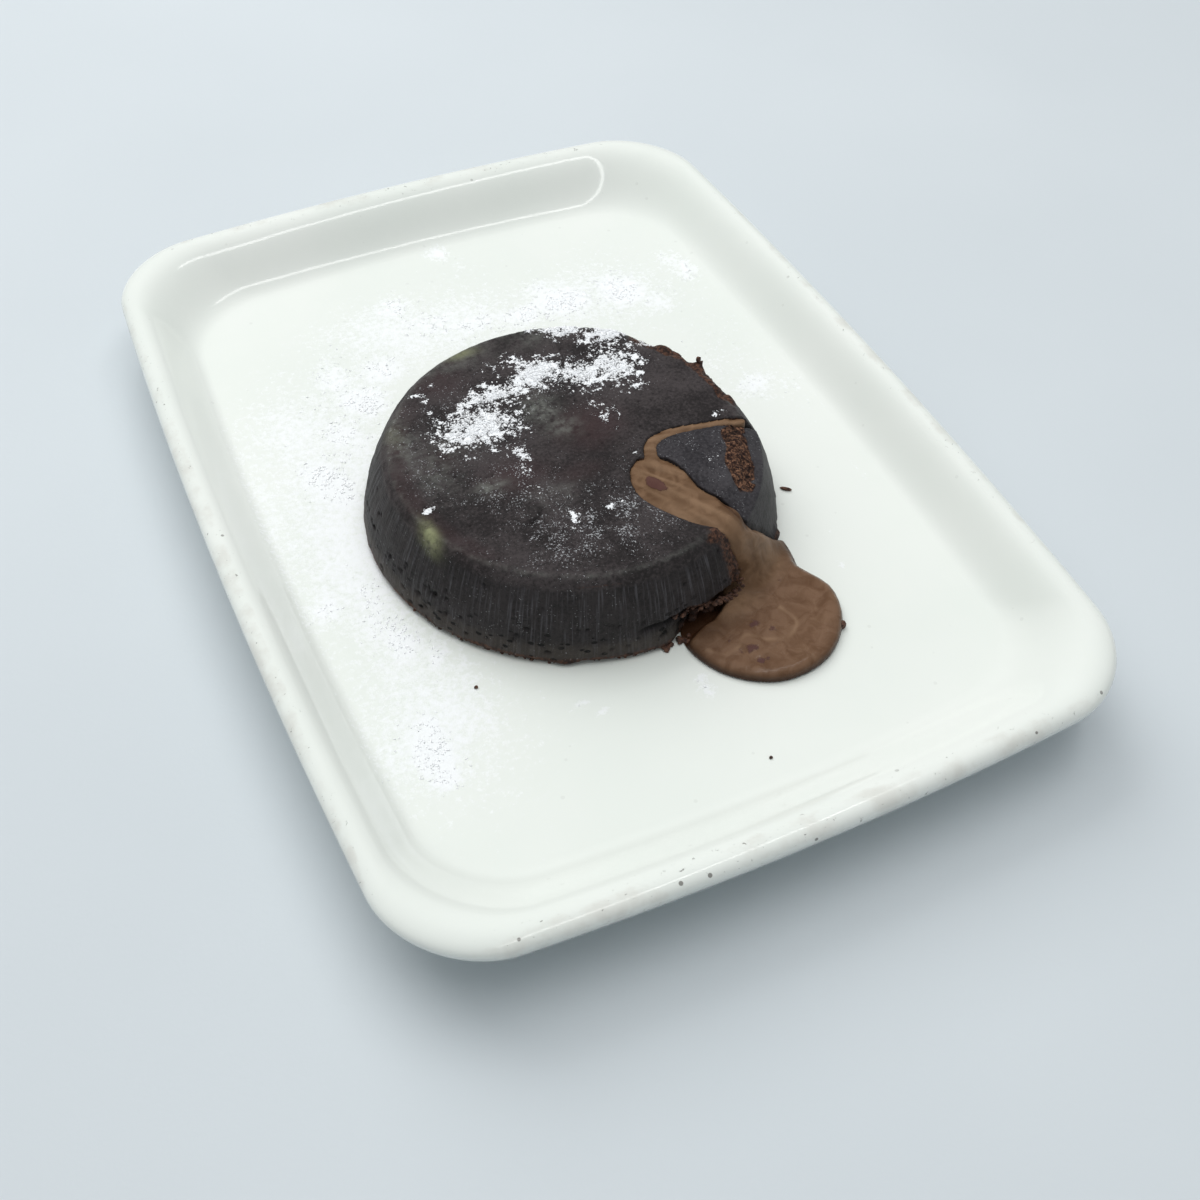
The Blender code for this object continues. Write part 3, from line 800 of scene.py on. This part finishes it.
class Surface:
    """A piece of the food while it is shaped: its points, and how far each is to be pushed."""

    def __init__(self, item):
        self.item = item
        self.points = vectors_of(item.data.vertices, "co") / MM
        self.normals = vectors_of(item.data.vertex_normals, "vector")
        self.radius, self.angle = around(self.points)
        self.level = self.points[:, 2]
        self.push = np.zeros_like(self.points)

    def outwards(self):
        """The direction away from the cake's axis."""
        out = (self.points[:, :2] - CAKE_CENTRE) / self.radius[:, None]
        return np.column_stack((out, np.zeros(len(out))))

    def push_out(self, amount):
        self.push += self.outwards() * amount[:, None]

    def push_up(self, amount):
        self.push[:, 2] += amount

    def push_square(self, amount):
        """Straight out of the surface."""
        self.push += self.normals * amount[:, None]

    def settle(self):
        """Moves the points, seats the food on the glaze and leaves room for the sugar on its top."""
        points = self.points + self.push
        share = (points[:, 2] - CAKE_SEAT) / (CAKE_TOP - CAKE_SEAT)
        points[:, 2] = SEAT_ON_GLAZE + share * (CAKE_TOP - TOP_ROOM - SEAT_ON_GLAZE)
        place_points(self.item, points)

    def upright_place(self):
        """The place on an upright drum, so that a pattern runs straight up the slanting side."""
        out = (self.points[:, :2] - CAKE_CENTRE) / self.radius[:, None] * CAKE_BASE_RADIUS
        return np.column_stack((out, self.level * 0.05))

    def paint(self, **layers):
        """Stores each number for each point, under its name."""
        for name, values in layers.items():
            paint(self.item, name, np.broadcast_to(values, len(self.points)))


def side_pores(food, seed, count, level_range, wide_range, flat):
    """Small open pores round the flank, wider than high."""
    draw = np.random.default_rng(seed)
    field = np.zeros(len(food.points))
    for _ in range(count):
        at = draw.uniform(-180, 180)
        level = draw.uniform(*level_range)
        wide = draw.uniform(*wide_range)
        across = np.radians((food.angle - at + 180) % 360 - 180) * food.radius / wide
        up = (food.level - level) / (wide * flat)
        field = np.maximum(field, np.exp(-(across**2 + up**2) * 1.6))
    return field


def top_pits(points, seed, count, size_range):
    """Small pits strewn over all that lies under the cake's top and the slice's."""
    draw = np.random.default_rng(seed)
    field = np.zeros(len(points))
    for _ in range(count):
        x, y = draw.uniform(-44, 38), draw.uniform(-50, 30)
        size = draw.uniform(*size_range)
        away = ((points[:, 0] - x) ** 2 + (points[:, 1] - y) ** 2) / size**2
        field = np.maximum(field, np.exp(-away * 1.6))
    return field


# --- cake ----------------------------------------------------------------------------


def shape_flank(cake):
    """Upright ribs from the mould, pores, and a crumbly foot."""
    points, level = cake.points, cake.level
    upright = cake.upright_place()
    ribs = grain(upright, 0.75, 21) + 0.6 * grain(upright, 1.9, 22)
    ribs *= soft_step(11, 14, level) * (0.7 + 0.5 * grain(points, 14, 23))
    cake.pores = np.max([side_pores(cake, *pores) for pores in FLANK_PORES], axis=0)
    cake.push_out(cake.flank * (0.18 * ribs - 0.8 * cake.pores + 0.18 * rough(points, 5, 42)))
    cake.foot = soft_step(12.4, 10.6, level) * (cake.radius > FOOT_RADIUS)
    ragged = rough(points, 3.2, 41) * 0.9 + 0.5 * grain(points, 8, 44)
    cake.push_out(cake.foot * (0.55 * ragged - 0.2))
    cake.push_out(cake.foot * 1.3 * mound(points, FOOT_LUMP, (2.4, 2.0)))


def open_crack(cake):
    """The crack that opens towards the torn lip, and the flank that falls back under it."""
    points, level, angle = cake.points, cake.level, cake.angle
    run = soft_step(-98, -94, angle) * soft_step(-61, -64, angle)
    waver = np.interp(angle, CRACK_ANGLES, CRACK_LEVELS) + 0.3 * grain(in_plan(points), 2.6, 51)
    half = 0.36 + 0.36 * soft_step(-94, -82, angle)
    cake.crack = ridge(level - waver, half) * run * cake.flank
    cake.push_out(-cake.crack * (1.1 + 1.6 * soft_step(-92, -80, angle)))
    under = soft_step(waver + 0.1, waver - 0.5, level)
    cake.below = soft_step(-93, -84, angle) * run * cake.flank * under
    recess = 0.5 + 3.0 * soft_step(-88, -79, angle)
    cake.push_out(-cake.below * (recess + 0.9 * rough(points, 2.2, 52)))
    cake.above = ridge(level - waver - 0.9, 0.7) * run * cake.flank * soft_step(-90, -78, angle)
    cake.push_out(cake.above * 0.5 * rough(points, 1.6, 53))


def shape_top(cake):
    """Shallow lumps, the tin's round mark, a gash, a slit, pits, and a bead along the rim."""
    points = cake.points
    from_disc = np.hypot(points[:, 0] - DISC_MARK[0], points[:, 1] - DISC_MARK[1])
    ring = ridge(np.abs(from_disc - DISC_MARK_RADIUS), 0.9) * (points[:, 1] < 8)
    cake.gash = ridge(from_line(points, GASH_LINE, 16), 0.38)
    cake.slit = ridge(from_line(points, SLIT_LINE, 16), 0.4)
    cake.pits = top_pits(points, 61, 130, (0.25, 0.55))
    relief = 0.10 * rough(points, 9, 62) + 0.05 * grain(points, 1.2, 63) - 0.07 * ring
    relief -= 0.6 * cake.gash + 0.8 * cake.slit + 0.45 * cake.pits
    cake.push_up(cake.up * relief)
    cake.bead = ridge(cake.radius - 38.3, 0.7) * cake.up
    cake.push_up(0.10 * cake.bead)


def break_edges(cake):
    """The crumbling rim beyond the slice, the rough end at the flow, a spur and torn faces."""
    points, level, radius, angle = cake.points, cake.level, cake.radius, cake.angle
    crumbling = soft_step(-8, 2, angle) * soft_step(50, 40, angle) * soft_step(34.6, 38, radius)
    cake.crumbling = crumbling * soft_step(22, 27, level)
    cake.broken = 0.5 + 0.9 * rough(points, 3.0, 71)
    cake.push_up(-cake.crumbling * np.clip(cake.broken, 0, 2) * 1.1)
    cake.push_out(-cake.crumbling * np.clip(cake.broken, -0.3, 2) * 0.9)
    straight = soft_step(-20, -8, angle) * soft_step(18, 8, angle) * soft_step(35, 38, radius)
    cake.push_out(-straight * 1.2 * soft_step(20, 29, level))
    ends = soft_step(-71, -64, angle) * soft_step(-50, -57, angle)
    cake.by_flow = ends * cake.flank * (level > 13)
    cake.push_out(cake.by_flow * 0.45 * rough(points, 1.7, 54))
    cake.push_out(mound(points, SPUR, (0.9, 0.7)) * soft_step(26, 28, level) * 2.2)
    cake.push_square(cake.torn * 0.5 * rough(points, 1.8, 81))


def heap_sugar(cake):
    """Low heaps of sugar on the crust, under the strewn grains."""
    points = cake.points
    cake.sugar = patches(points, SUGAR_ON_TOP) * (cake.level > CAKE_TOP - 2.5)
    flat = in_plan(points)
    heaps = cake.sugar * 0.78 + 0.42 * grain(flat, 1.5, 91) + 0.42 * grain(flat, 0.9, 92)
    cake.heaps = heaps * ((cake.sugar > 0.14) * soft_step(0.2, 0.7, cake.normals[:, 2]))
    cover = soft_step(0.40, 0.80, cake.heaps)
    cake.push_up(cover * (0.12 + 0.14 * grain(points, 0.9, 93)))


def cave_shade_of(cake):
    """Where painted shade darkens the cave under the torn lip."""
    angle, radius, middle = UNDERCUT
    out = (cake.points[:, :2] - (CAKE_CENTRE + radius * heading(angle))) / 9.5
    away = (out**2).sum(axis=1) + ((cake.level - middle) / 5.5) ** 2
    return np.exp(-(away**3)) * (cake.radius < side_radius(cake.level) - 0.9)


def rust_of(cake):
    """Where the crust's red-brown crumb shows: the foot, the torn edges and a line under the rim."""
    points, level, angle = cake.points, cake.level, cake.angle
    from_lip_end = np.hypot(points[:, 0] - LIP_END[0], points[:, 1] - LIP_END[1])
    lip = soft_step(6.5, 2.0, from_lip_end) * soft_step(27, 29, level)
    foot = soft_step(13.4, 11.3, level) * (cake.radius > FOOT_RADIUS)
    rust = (1.1 + 0.6 * grain(points, 4, 94)) * foot
    rust += cake.crumbling * 1.1 + lip * 0.9 + cake.torn * 0.9 + cake.above * 1.3
    rust += cake.by_flow * 1.1
    under_rim = ridge(level - 27.9, 0.24) * cake.flank * soft_step(-119, -112, angle)
    rust += under_rim * soft_step(-96, -103, angle) * 0.7
    return rust + soft_step(3, 0.6, np.abs(angle + 78)) * cake.crack * 0.4


def mark_cake(cake):
    """What the crust's finish and the grains read."""
    points, level, angle, up, flank = cake.points, cake.level, cake.angle, cake.up, cake.flank
    left_rim = 0.6 * soft_step(5, 1, np.abs(cake.radius - 37)) * soft_step(120, 150, np.abs(angle))
    # Painted shade where the flank's pores, the crack, the cave and the space under the lip lie in shadow,
    # and in the top's gash, slit and pits.
    shaded_hollows = cake.pores * flank + cake.crack + cave_shade_of(cake) * 1.2
    shaded_hollows += cake.below * soft_step(-88, -81, angle)
    shaded_hollows += up * (0.7 * cake.gash + cake.slit + cake.pits * 0.7)
    cake.paint(
        sugar=np.clip(cake.heaps, 0, 1),
        sugar_fall=np.clip(cake.sugar, 0, 1) * soft_step(0.3, 0.8, cake.normals[:, 2]),
        dust=patches(points, FINE_DUST_ON_TOP) * up + 0.25 * flank * soft_step(-60, -120, angle),
        # Grey bloom spots, and a painted highlight along the bead of the rim.
        bloom_and_highlight=(patches(points, HAZE_ON_TOP) + 0.3 * cake.bead) * up,
        green=patches(points, GREEN_SPOTS) * soft_step(24, 27, level),
        wine=np.maximum(patches(points, WINE_TINTS), left_rim) * up,
        rust=rust_of(cake),
        crumb=cake.crumbling * soft_step(0.2, 1.0, cake.broken) * 0.5,
        hollow_shade=np.clip(shaded_hollows, 0, 1),
        lower=flank * soft_step(18.5, 13.5, level),
        porous=flank * np.clip(soft_step(22, 17, level) + 0.12, 0, 1),
        foot=cake.foot * soft_step(11.6, 10.8, level),
        flank=flank * soft_step(27.6, 26.6, level) * soft_step(11, 13, level),
    )
    paint_place(cake.item, "upright", cake.upright_place())


def make_cake(material):
    """The round cake: a ribbed flank, a torn lip over a crack, a dusted and pitted top."""
    cake = Surface(fine_copy("cake", "cake_crust", CAKE_VOXEL, material))
    cake.up = soft_step(0.55, 0.9, cake.normals[:, 2]) * (cake.level > CAKE_TOP - 2)
    cake.flank = soft_step(-2.2, -0.8, cake.radius - side_radius(cake.level)) * (1 - cake.up)
    cake.torn = (1 - cake.up) * (1 - cake.flank) * (cake.level < CAKE_TOP - 0.3)
    shape_flank(cake)
    open_crack(cake)
    shape_top(cake)
    break_edges(cake)
    heap_sugar(cake)
    cake.settle()
    mark_cake(cake)
    return cake.item


# --- slice ---------------------------------------------------------------------------


def torn_band(piece):
    """The band of open crumb across the slice, where its crust tore."""
    points, flat = piece.points, in_plan(piece.points)
    down = (points[:, 1] + 20) / -15
    inner = 27.0 - 5.0 * down + 1.0 * grain(flat, 4, 101)
    outer = 33.4 - 6.6 * down + 0.8 * grain(flat, 3, 102)
    across = (points[:, 0] - inner) / (outer - inner)
    band = soft_step(-0.08, 0.1, across) * soft_step(1.12, 0.92, across)
    band *= soft_step(0.05, 0.4, piece.normals[:, 2]) * (piece.level > 20)
    band *= soft_step(-37.5, -34, points[:, 1])
    ragged = grain(points, 1.4, 109) + 1.6 * np.minimum(across, 1 - across)
    return band * soft_step(-0.75, -0.1, ragged)


def make_slice(material):
    """The cut slice: dark top, a band of open crumb, dark flank with a crumbly foot and tip."""
    piece = Surface(fine_copy("cake_slice", "slice_crust", SLICE_VOXEL, material))
    points, level = piece.points, piece.level
    band = torn_band(piece)
    up = soft_step(0.3, 0.8, piece.normals[:, 2])
    top = up * (1 - band)
    flank = 1 - soft_step(0.2, 0.5, piece.normals[:, 2])
    crumb = rough(points, 1.7, 103)
    piece.push_square(band * (0.55 * crumb - 0.25))
    piece.push_square(flank * 0.22 * rough(points, 3, 104))
    pits = top_pits(points, 105, 240, (0.25, 0.5))
    piece.push_up(top * (0.06 * rough(points, 6, 106) - 0.4 * pits))
    foot = soft_step(13.0, 10.8, level) * flank
    piece.push_square(foot * 0.9 * rough(points, 2.6, 107))
    tip = mound(points, SLICE_TIP, (2.6, 2.6)) * soft_step(15, 12, level)
    piece.push_square(tip * (1.2 + 0.8 * rough(points, 1.6, 110)))
    sugar = patches(points, SUGAR_ON_TOP) * (level > CAKE_TOP - 4)
    heaps = (sugar + 0.3 * grain(in_plan(points), 1.1, 108)) * up * (sugar > 0.15)
    piece.settle()
    piece.paint(
        sugar=np.clip(heaps, 0, 1),
        sugar_fall=np.clip(sugar, 0, 1) * up,
        dust=0.30 * top + 0.3 * patches(points, FINE_DUST_ON_TOP) * up,
        bloom_and_highlight=0,
        green=0,
        wine=0,
        crumb=band,
        rust=0.8 * foot + 0.3 * band + 1.2 * tip,
        # Painted shade in the open crumb's recesses and the top's pits.
        hollow_shade=np.clip(band * soft_step(-0.1, -0.5, crumb) * 0.6 + top * pits * 0.7, 0, 1),
        foot=foot * soft_step(12, 10.8, level),
        flank=flank * soft_step(11, 13, level) * 0.7,
        lower=0,
        porous=flank * 0.3,
    )
    paint_place(piece.item, "upright", piece.upright_place())
    return piece.item


# --- filling -------------------------------------------------------------------------


def drawn_streaks(flow):
    """Streaks drawn out along the way the filling ran."""
    across = np.radians(flow.angle) * 38
    wide = np.column_stack((across, flow.radius * 0.14, flow.level * 0.1))
    narrow = np.column_stack((across, flow.radius * 0.2, flow.level * 0.1))
    return grain(wide, 1.5, 111) + 0.5 * grain(narrow, 0.8, 112)


def flow_lump(points):
    """The long crumb of cake that lies in the flow, turned along it."""
    x, y = points[:, 0] - FLOW_LUMP[0], points[:, 1] - FLOW_LUMP[1]
    along, across = 0.43 * x - 0.90 * y, 0.90 * x + 0.43 * y
    return np.exp(-(((along / 3.1) ** 2 + (across / 1.6) ** 2) ** 2))


def drained_strip(flow):
    """The strip under the torn lip that the puddle has left."""
    points = flow.points
    past_edge = points[:, 1] - np.interp(points[:, 0], *CAVE_EDGE)
    drained = soft_step(-0.4, 1.4, past_edge + 0.4 * grain(points, 2.2, 120))
    return drained * soft_step(14.4, 13.2, points[:, 0]) * (flow.level < 17)


def smoothed_filling(material):
    """The CAD filling in fine faces, smoothed, and most where it drapes over the cake's edge."""
    filling = fine_copy("filling", "filling_flow", FILLING_VOXEL, material)
    relax(filling, 3)
    start = vectors_of(filling.data.vertices, "co") / MM
    radius = around(start)[0]
    draped = (radius > 34.5) & (radius < 52) & (start[:, 2] > 12.0) & (start[:, 0] > 8)
    relax(filling, 34, draped)
    return filling


def make_filling(material):
    """The melted filling: streaked in the cake, creased over its edge, swirled in the puddle."""
    flow = Surface(smoothed_filling(material))
    points, level, radius = flow.points, flow.level, flow.radius
    up = soft_step(-0.1, 0.6, flow.normals[:, 2])
    pool = soft_step(46, 52, radius) * soft_step(19, 15, level)
    tongue = 1 - pool
    drawn = drawn_streaks(flow)
    flow.push_square(up * tongue * (0.10 * drawn + 0.16 * rough(points, 6, 113)))
    walls = (1 - soft_step(0.4, 0.75, np.abs(flow.normals[:, 2]))) * soft_step(15, 20, level)
    flow.push_square(0.45 * walls)
    swirl = rough(points, 7, 114)
    flow.push_up(up * pool * 0.16 * swirl)
    middle = patches(points, PUDDLE_BITS) * (0.75 + 0.5 * grain(points, 1.3, 117))
    flow.push_up(up * pool * middle * (0.35 * rough(points, 2.0, 115) - 0.15))
    lump = flow_lump(points)
    flow.push_up(up * 0.35 * lump)
    crease = ridge(from_line(points, CREASE_LINE, 24), 0.65) * up * soft_step(22, 25, level)
    flow.push_square(-0.3 * crease)
    drained = drained_strip(flow)
    flow.push_up(-drained * np.clip(level - 10.5, 0, None) * 0.95)
    flow.settle()

    # Painted highlight: a pale wavering line across the puddle.
    pale = ridge(from_line(points, HIGHLIGHT_LINE, 140), 0.42) * pool * 1.4
    pale *= 0.6 + 0.6 * grain(points, 1.6, 118)
    pale_tone_and_highlight = tongue * (0.4 + 0.6 * drawn) + pool * 0.3 * soft_step(0.1, 0.6, swirl) + pale
    # Painted shade: the puddle's foot against the glaze, its shaded left side, the lobe's lower edge, the
    # crease beside the slice and the drained strip under the lip.
    painted_shade = soft_step(12.8, 11.0, level) * (radius > 46)
    painted_shade = painted_shade + 0.75 * mound(points, PUDDLE_SHADE, (6, 5.5)) + 0.8 * crease
    painted_shade += 0.45 * mound(points, PUDDLE_LOBE, (2.2, 2.0))
    painted_shade += drained * (0.9 + 0.3 * grain(points, 1.5, 119))
    scraps = top_pits(points, 116, 90, (0.3, 0.8)) * 0.7
    bits = 0.85 * lump + 0.72 * middle * pool + scraps * (pool * 0.4 + 0.3)
    flow.paint(
        pool=pool, pale_tone_and_highlight=np.clip(pale_tone_and_highlight, 0, 1), painted_shade=np.clip(painted_shade, 0, 1), bits=np.clip(bits, 0, 1)
    )
    return flow.item


# --- sugar and crumbs ----------------------------------------------------------------

GRAIN_INPUTS = (
    ("Surface", "NodeSocketGeometry"), ("Painted Where", "NodeSocketString"),
    ("Grains per Square Metre", "NodeSocketFloat"), ("Smallest", "NodeSocketFloat"),
    ("Largest", "NodeSocketFloat"), ("Flatness", "NodeSocketFloat"),
    ("Clump Size", "NodeSocketFloat"), ("Pile Height", "NodeSocketFloat"),
    ("Grain Facets", "NodeSocketInt"), ("Seed", "NodeSocketInt"), ("Finish", "NodeSocketMaterial"),
)  # fmt: skip


def grain_places(tree, given):
    """Points strewn over the surface, kept where clumps fall and piled where they are thickest."""
    named = {"Name": given["Painted Where"]}
    share = tree.made(
        "Attribute", "GeometryNodeInputNamedAttribute", {"data_type": "FLOAT"}, named
    )
    host = tree.add("GeometryNodeCaptureAttribute", None, {"Geometry": given["Surface"]})
    host.capture_items.new("FLOAT", "Share")
    tree.group.links.new(share.socket, host.inputs["Share"])
    share_there = Amount(tree, host.outputs["Share"])
    strewn = tree.made(
        "Points",
        "GeometryNodeDistributePointsOnFaces",
        {"distribute_method": "RANDOM"},
        {
            "Mesh": Amount(tree, host.outputs["Geometry"]),
            "Density": share * given["Grains per Square Metre"],
            "Seed": given["Seed"],
        },
    )
    clumps = tree.made(
        "Fac",
        "ShaderNodeTexNoise",
        None,
        {
            "Vector": tree.made(0, "GeometryNodeInputPosition"),
            "Scale": 1.0 / given["Clump Size"],
            "Detail": 2.0,
            "Roughness": 0.6,
        },
    )
    bare = clumps > share_there * 0.34 + 0.28
    kept = {"Geometry": strewn, "Selection": bare}
    thinned = tree.made("Geometry", "GeometryNodeDeleteGeometry", {"domain": "POINT"}, kept)
    lift = tree.made(1, "FunctionNodeRandomValue", {"data_type": "FLOAT"}, {"Seed": 5})
    height = lift * given["Pile Height"] * share_there
    upward = tree.made(0, "ShaderNodeCombineXYZ", None, {"Z": height})
    piled = {"Geometry": thinned, "Offset": upward}
    return tree.made("Geometry", "GeometryNodeSetPosition", None, piled)


def grain_shape(tree, given):
    """One grain a metre wide: a ball with a dent in it, sunk a little into what it lies on."""
    ball = tree.made(
        "Mesh",
        "GeometryNodeMeshIcoSphere",
        None,
        {"Radius": 0.5, "Subdivisions": given["Grain Facets"]},
    )
    dent = tree.made("Color", "ShaderNodeTexNoise", None, {"Scale": 2.2, "Detail": 0.0})
    shift = tree.vector("SUBTRACT", dent, (0.5, 0.5, 0.78))
    shift = tree.made(0, "ShaderNodeVectorMath", {"operation": "SCALE"}, {0: shift, "Scale": 0.9})
    moved = {"Geometry": ball, "Offset": shift}
    return tree.made("Geometry", "GeometryNodeSetPosition", None, moved)


def scatter_tree():
    """Grains strewn over a surface where its painted number allows, thickest where it is high."""
    group = bpy.data.node_groups.new("strew_grains", "GeometryNodeTree")
    for name, kind in GRAIN_INPUTS:
        group.interface.new_socket(name=name, in_out="INPUT", socket_type=kind)
    group.interface.new_socket(
        name="Grains", in_out="OUTPUT", socket_type="NodeSocketGeometry"
    )
    tree = Tree(group)
    inputs = tree.add("NodeGroupInput").outputs
    given = {name: Amount(tree, inputs[name]) for name, _ in GRAIN_INPUTS}
    most = {1: (6.28, 6.28, 6.28), "Seed": 1}
    turn = tree.made(0, "FunctionNodeRandomValue", {"data_type": "FLOAT_VECTOR"}, most)
    tilt = tree.vector("MULTIPLY", turn, (0.08, 0.08, 1.0))
    toss = tree.made(1, "FunctionNodeRandomValue", {"data_type": "FLOAT"}, {"Seed": 2})
    size = given["Smallest"] + (given["Largest"] - given["Smallest"]) * toss**2.4
    sides = {"X": size, "Y": size, "Z": size * given["Flatness"]}
    grains = tree.made(
        "Instances",
        "GeometryNodeInstanceOnPoints",
        None,
        {
            "Points": grain_places(tree, given),
            "Instance": grain_shape(tree, given),
            "Rotation": tilt,
            "Scale": tree.made(0, "ShaderNodeCombineXYZ", None, sides),
        },
    )
    real = tree.made("Geometry", "GeometryNodeRealizeInstances", None, {"Geometry": grains})
    finish = {"Geometry": real, "Material": given["Finish"]}
    finished = tree.made("Geometry", "GeometryNodeSetMaterial", None, finish)
    tree.add("NodeGroupOutput", None, {"Grains": finished})
    return group


def strew(group, hosts, name, material, **inputs):
    """One plain mesh of the grains strewn over these pieces."""
    bm = bmesh.new()
    for turn, host in enumerate(hosts):
        carrier = bpy.data.objects.new("carrier", host.data)
        bpy.context.scene.collection.objects.link(carrier)
        modifier = carrier.modifiers.new("grains", "NODES")
        modifier.node_group = group
        given = dict(inputs, Finish=material, Seed=inputs["Seed"] + turn)
        for socket in group.interface.items_tree:
            if socket.item_type == "SOCKET" and socket.in_out == "INPUT" and socket.name in given:
                modifier[socket.identifier] = given[socket.name]
        mesh = evaluated_mesh(carrier)
        bpy.data.objects.remove(carrier, do_unlink=True)
        bm.from_mesh(mesh)
        bpy.data.meshes.remove(mesh)
    mesh = bpy.data.meshes.new(name)
    bm.to_mesh(mesh)
    bm.free()
    for layer in [layer.name for layer in mesh.attributes if layer.data_type == "FLOAT"]:
        mesh.attributes.remove(mesh.attributes[layer])
    return piece_from(mesh, name, material)


def crumb_piece(name, lumps, material):
    """Loose crumbs as uneven little lumps: middle, half sizes in millimetres, turn in degrees."""
    bm = bmesh.new()
    for count, (x, y, z, long, wide, high, turn) in enumerate(lumps):
        made = bmesh.ops.create_icosphere(bm, subdivisions=3, radius=1.0)["verts"]
        ball = np.array([v.co for v in made])
        ball *= 1 + 0.28 * rough(ball, 0.7, 200 + count)[:, None]
        ball *= (long, wide, high)
        cos, sin = heading(turn)
        ball = ball @ np.array(((cos, sin, 0), (-sin, cos, 0), (0, 0, 1))) + (x, y, z)
        for vert, co in zip(made, ball):
            vert.co = Vector(co * MM)
    bmesh.ops.recalc_face_normals(bm, faces=bm.faces)
    mesh = bpy.data.meshes.new(name)
    bm.to_mesh(mesh)
    bm.free()
    return piece_from(mesh, name, material)


def torn_lumps():
    """Crumbs along the torn lip, down its corner by the flow, and in the cave under it, where they also
    stand in for the shade over the bare glaze.
    """
    draw = np.random.default_rng(301)
    places = []
    for angle in np.linspace(-86, -61.8, 30):
        level = np.interp(angle, CRACK_ANGLES, CRACK_LEVELS) + draw.uniform(-0.9, 0.3)
        places.append((angle, side_radius(level) - draw.uniform(0.1, 1.0), level, 0.4, 0.85))
    for level in np.linspace(13.2, 21, 12):
        angle = np.interp(level, *LIP_CORNER) + draw.uniform(-0.8, 0.8)
        places.append((angle, side_radius(level) - draw.uniform(-0.2, 0.5), level, 0.35, 0.8))
    # Crumbs in the cave under the lip: real crumbs, and also dark stand-ins for the shade there.
    for _ in range(30):
        angle, radius = draw.uniform(-82, -70), draw.uniform(37, 42.2)
        places.append((angle, radius, draw.uniform(10.4, 11.4), 0.6, 1.3))
    for _ in range(12):
        places.append((draw.uniform(-90, -80), draw.uniform(44.6, 46), 10.6, 0.4, 0.9))
    lumps = []
    for angle, radius, level, small, large in places:
        x, y = CAKE_CENTRE + radius * heading(angle)
        long, wide = draw.uniform(small, large), draw.uniform(small, large) * 0.8
        lumps.append((x, y, level - 0.2, long, wide, wide * 0.8, draw.uniform(0, 180)))
    return lumps


# --- the table, the lights and the camera --------------------------------------------


def make_stage():
    bpy.ops.mesh.primitive_grid_add(x_subdivisions=8, y_subdivisions=8, size=6)
    table = bpy.context.object
    table.name = "table_top"
    table.data.materials.append(pale_table())


def make_softbox(name, place, aim, size, power, mirrored):
    """A softbox. One that isn't mirrored lights the object but doesn't show in its gloss."""
    lamp = bpy.data.lights.new(name, "AREA")
    lamp.shape = "RECTANGLE"
    lamp.size, lamp.size_y = size
    lamp.energy = power
    lamp.color = SOFTBOX_COLOUR
    item = bpy.data.objects.new(name, lamp)
    item.location = place
    item.rotation_euler = (Vector(aim) - Vector(place)).to_track_quat("-Z", "Y").to_euler()
    item.visible_glossy = mirrored
    bpy.context.scene.collection.objects.link(item)


def make_light():
    world = bpy.data.worlds.new("soft_room")
    world.use_nodes = True
    sky = world.node_tree.nodes["Background"]
    sky.inputs["Color"].default_value = ROOM_COLOUR
    sky.inputs["Strength"].default_value = ROOM_STRENGTH
    bpy.context.scene.world = world
    for softbox in SOFTBOXES:
        make_softbox(*softbox)
    bpy.context.scene.view_settings.view_transform = "Standard"


def make_camera():
    lens = bpy.data.cameras.new("camera")
    lens.lens = LENS
    lens.sensor_width = SENSOR
    lens.clip_start = 0.01
    camera = bpy.data.objects.new("camera", lens)
    camera.location = CAMERA_PLACE
    camera.rotation_euler = [math.radians(turn) for turn in CAMERA_TURN]
    bpy.context.scene.collection.objects.link(camera)
    bpy.context.scene.camera = camera


def main():
    make_camera()
    make_light()
    make_stage()
    sugar, crumb = icing_sugar(), cake_crumb()
    plate = make_plate(white_glaze())
    cake = make_cake(sponge("dark_sponge", *CRUST_BROWNS))
    piece = make_slice(sponge("cut_sponge", *SLICE_BROWNS))
    filling = make_filling(melted_chocolate())
    group = scatter_tree()
    on_cake = strew(
        group, (cake, piece), "sugar_on_cake", sugar, Seed=7, **{
            "Painted Where": "sugar_fall", "Grains per Square Metre": 1.1e7,
            "Smallest": 0.16 * MM, "Largest": 0.75 * MM, "Flatness": 0.55,
            "Clump Size": 1.2 * MM, "Pile Height": 0.12 * MM, "Grain Facets": 1,
        },
    )  # fmt: skip
    on_plate = strew(
        group, (plate,), "sugar_on_plate", sugar, Seed=17, **{
            "Painted Where": "sugar", "Grains per Square Metre": 4.4e6,
            "Smallest": 0.14 * MM, "Largest": 0.7 * MM, "Flatness": 0.26,
            "Clump Size": 2.6 * MM, "Pile Height": 0.03 * MM, "Grain Facets": 1,
        },
    )  # fmt: skip
    foot_crumbs = strew(
        group, (cake, piece), "crumbs_at_foot", crumb, Seed=27, **{
            "Painted Where": "foot", "Grains per Square Metre": 1.3e6,
            "Smallest": 0.25 * MM, "Largest": 1.1 * MM, "Flatness": 0.7,
            "Clump Size": 4.5 * MM, "Pile Height": 0.0, "Grain Facets": 2,
        },
    )  # fmt: skip
    loose = crumb_piece("loose_crumbs", LOOSE_CRUMBS, crumb)
    torn = crumb_piece("torn_edge_crumbs", torn_lumps(), crumb)
    for item, slot in (
        (plate, "white_glaze"), (cake, "dark_sponge"), (piece, "cut_sponge"),
        (filling, "melted_chocolate"), (on_cake, "icing_sugar"), (on_plate, "icing_sugar"),
        (foot_crumbs, "cake_crumb"), (loose, "cake_crumb"), (torn, "cake_crumb"),
    ):  # fmt: skip
        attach(item, "root")
    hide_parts("plate")
    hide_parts("cake")
    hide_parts("cake_slice")
    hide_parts("filling")


main()
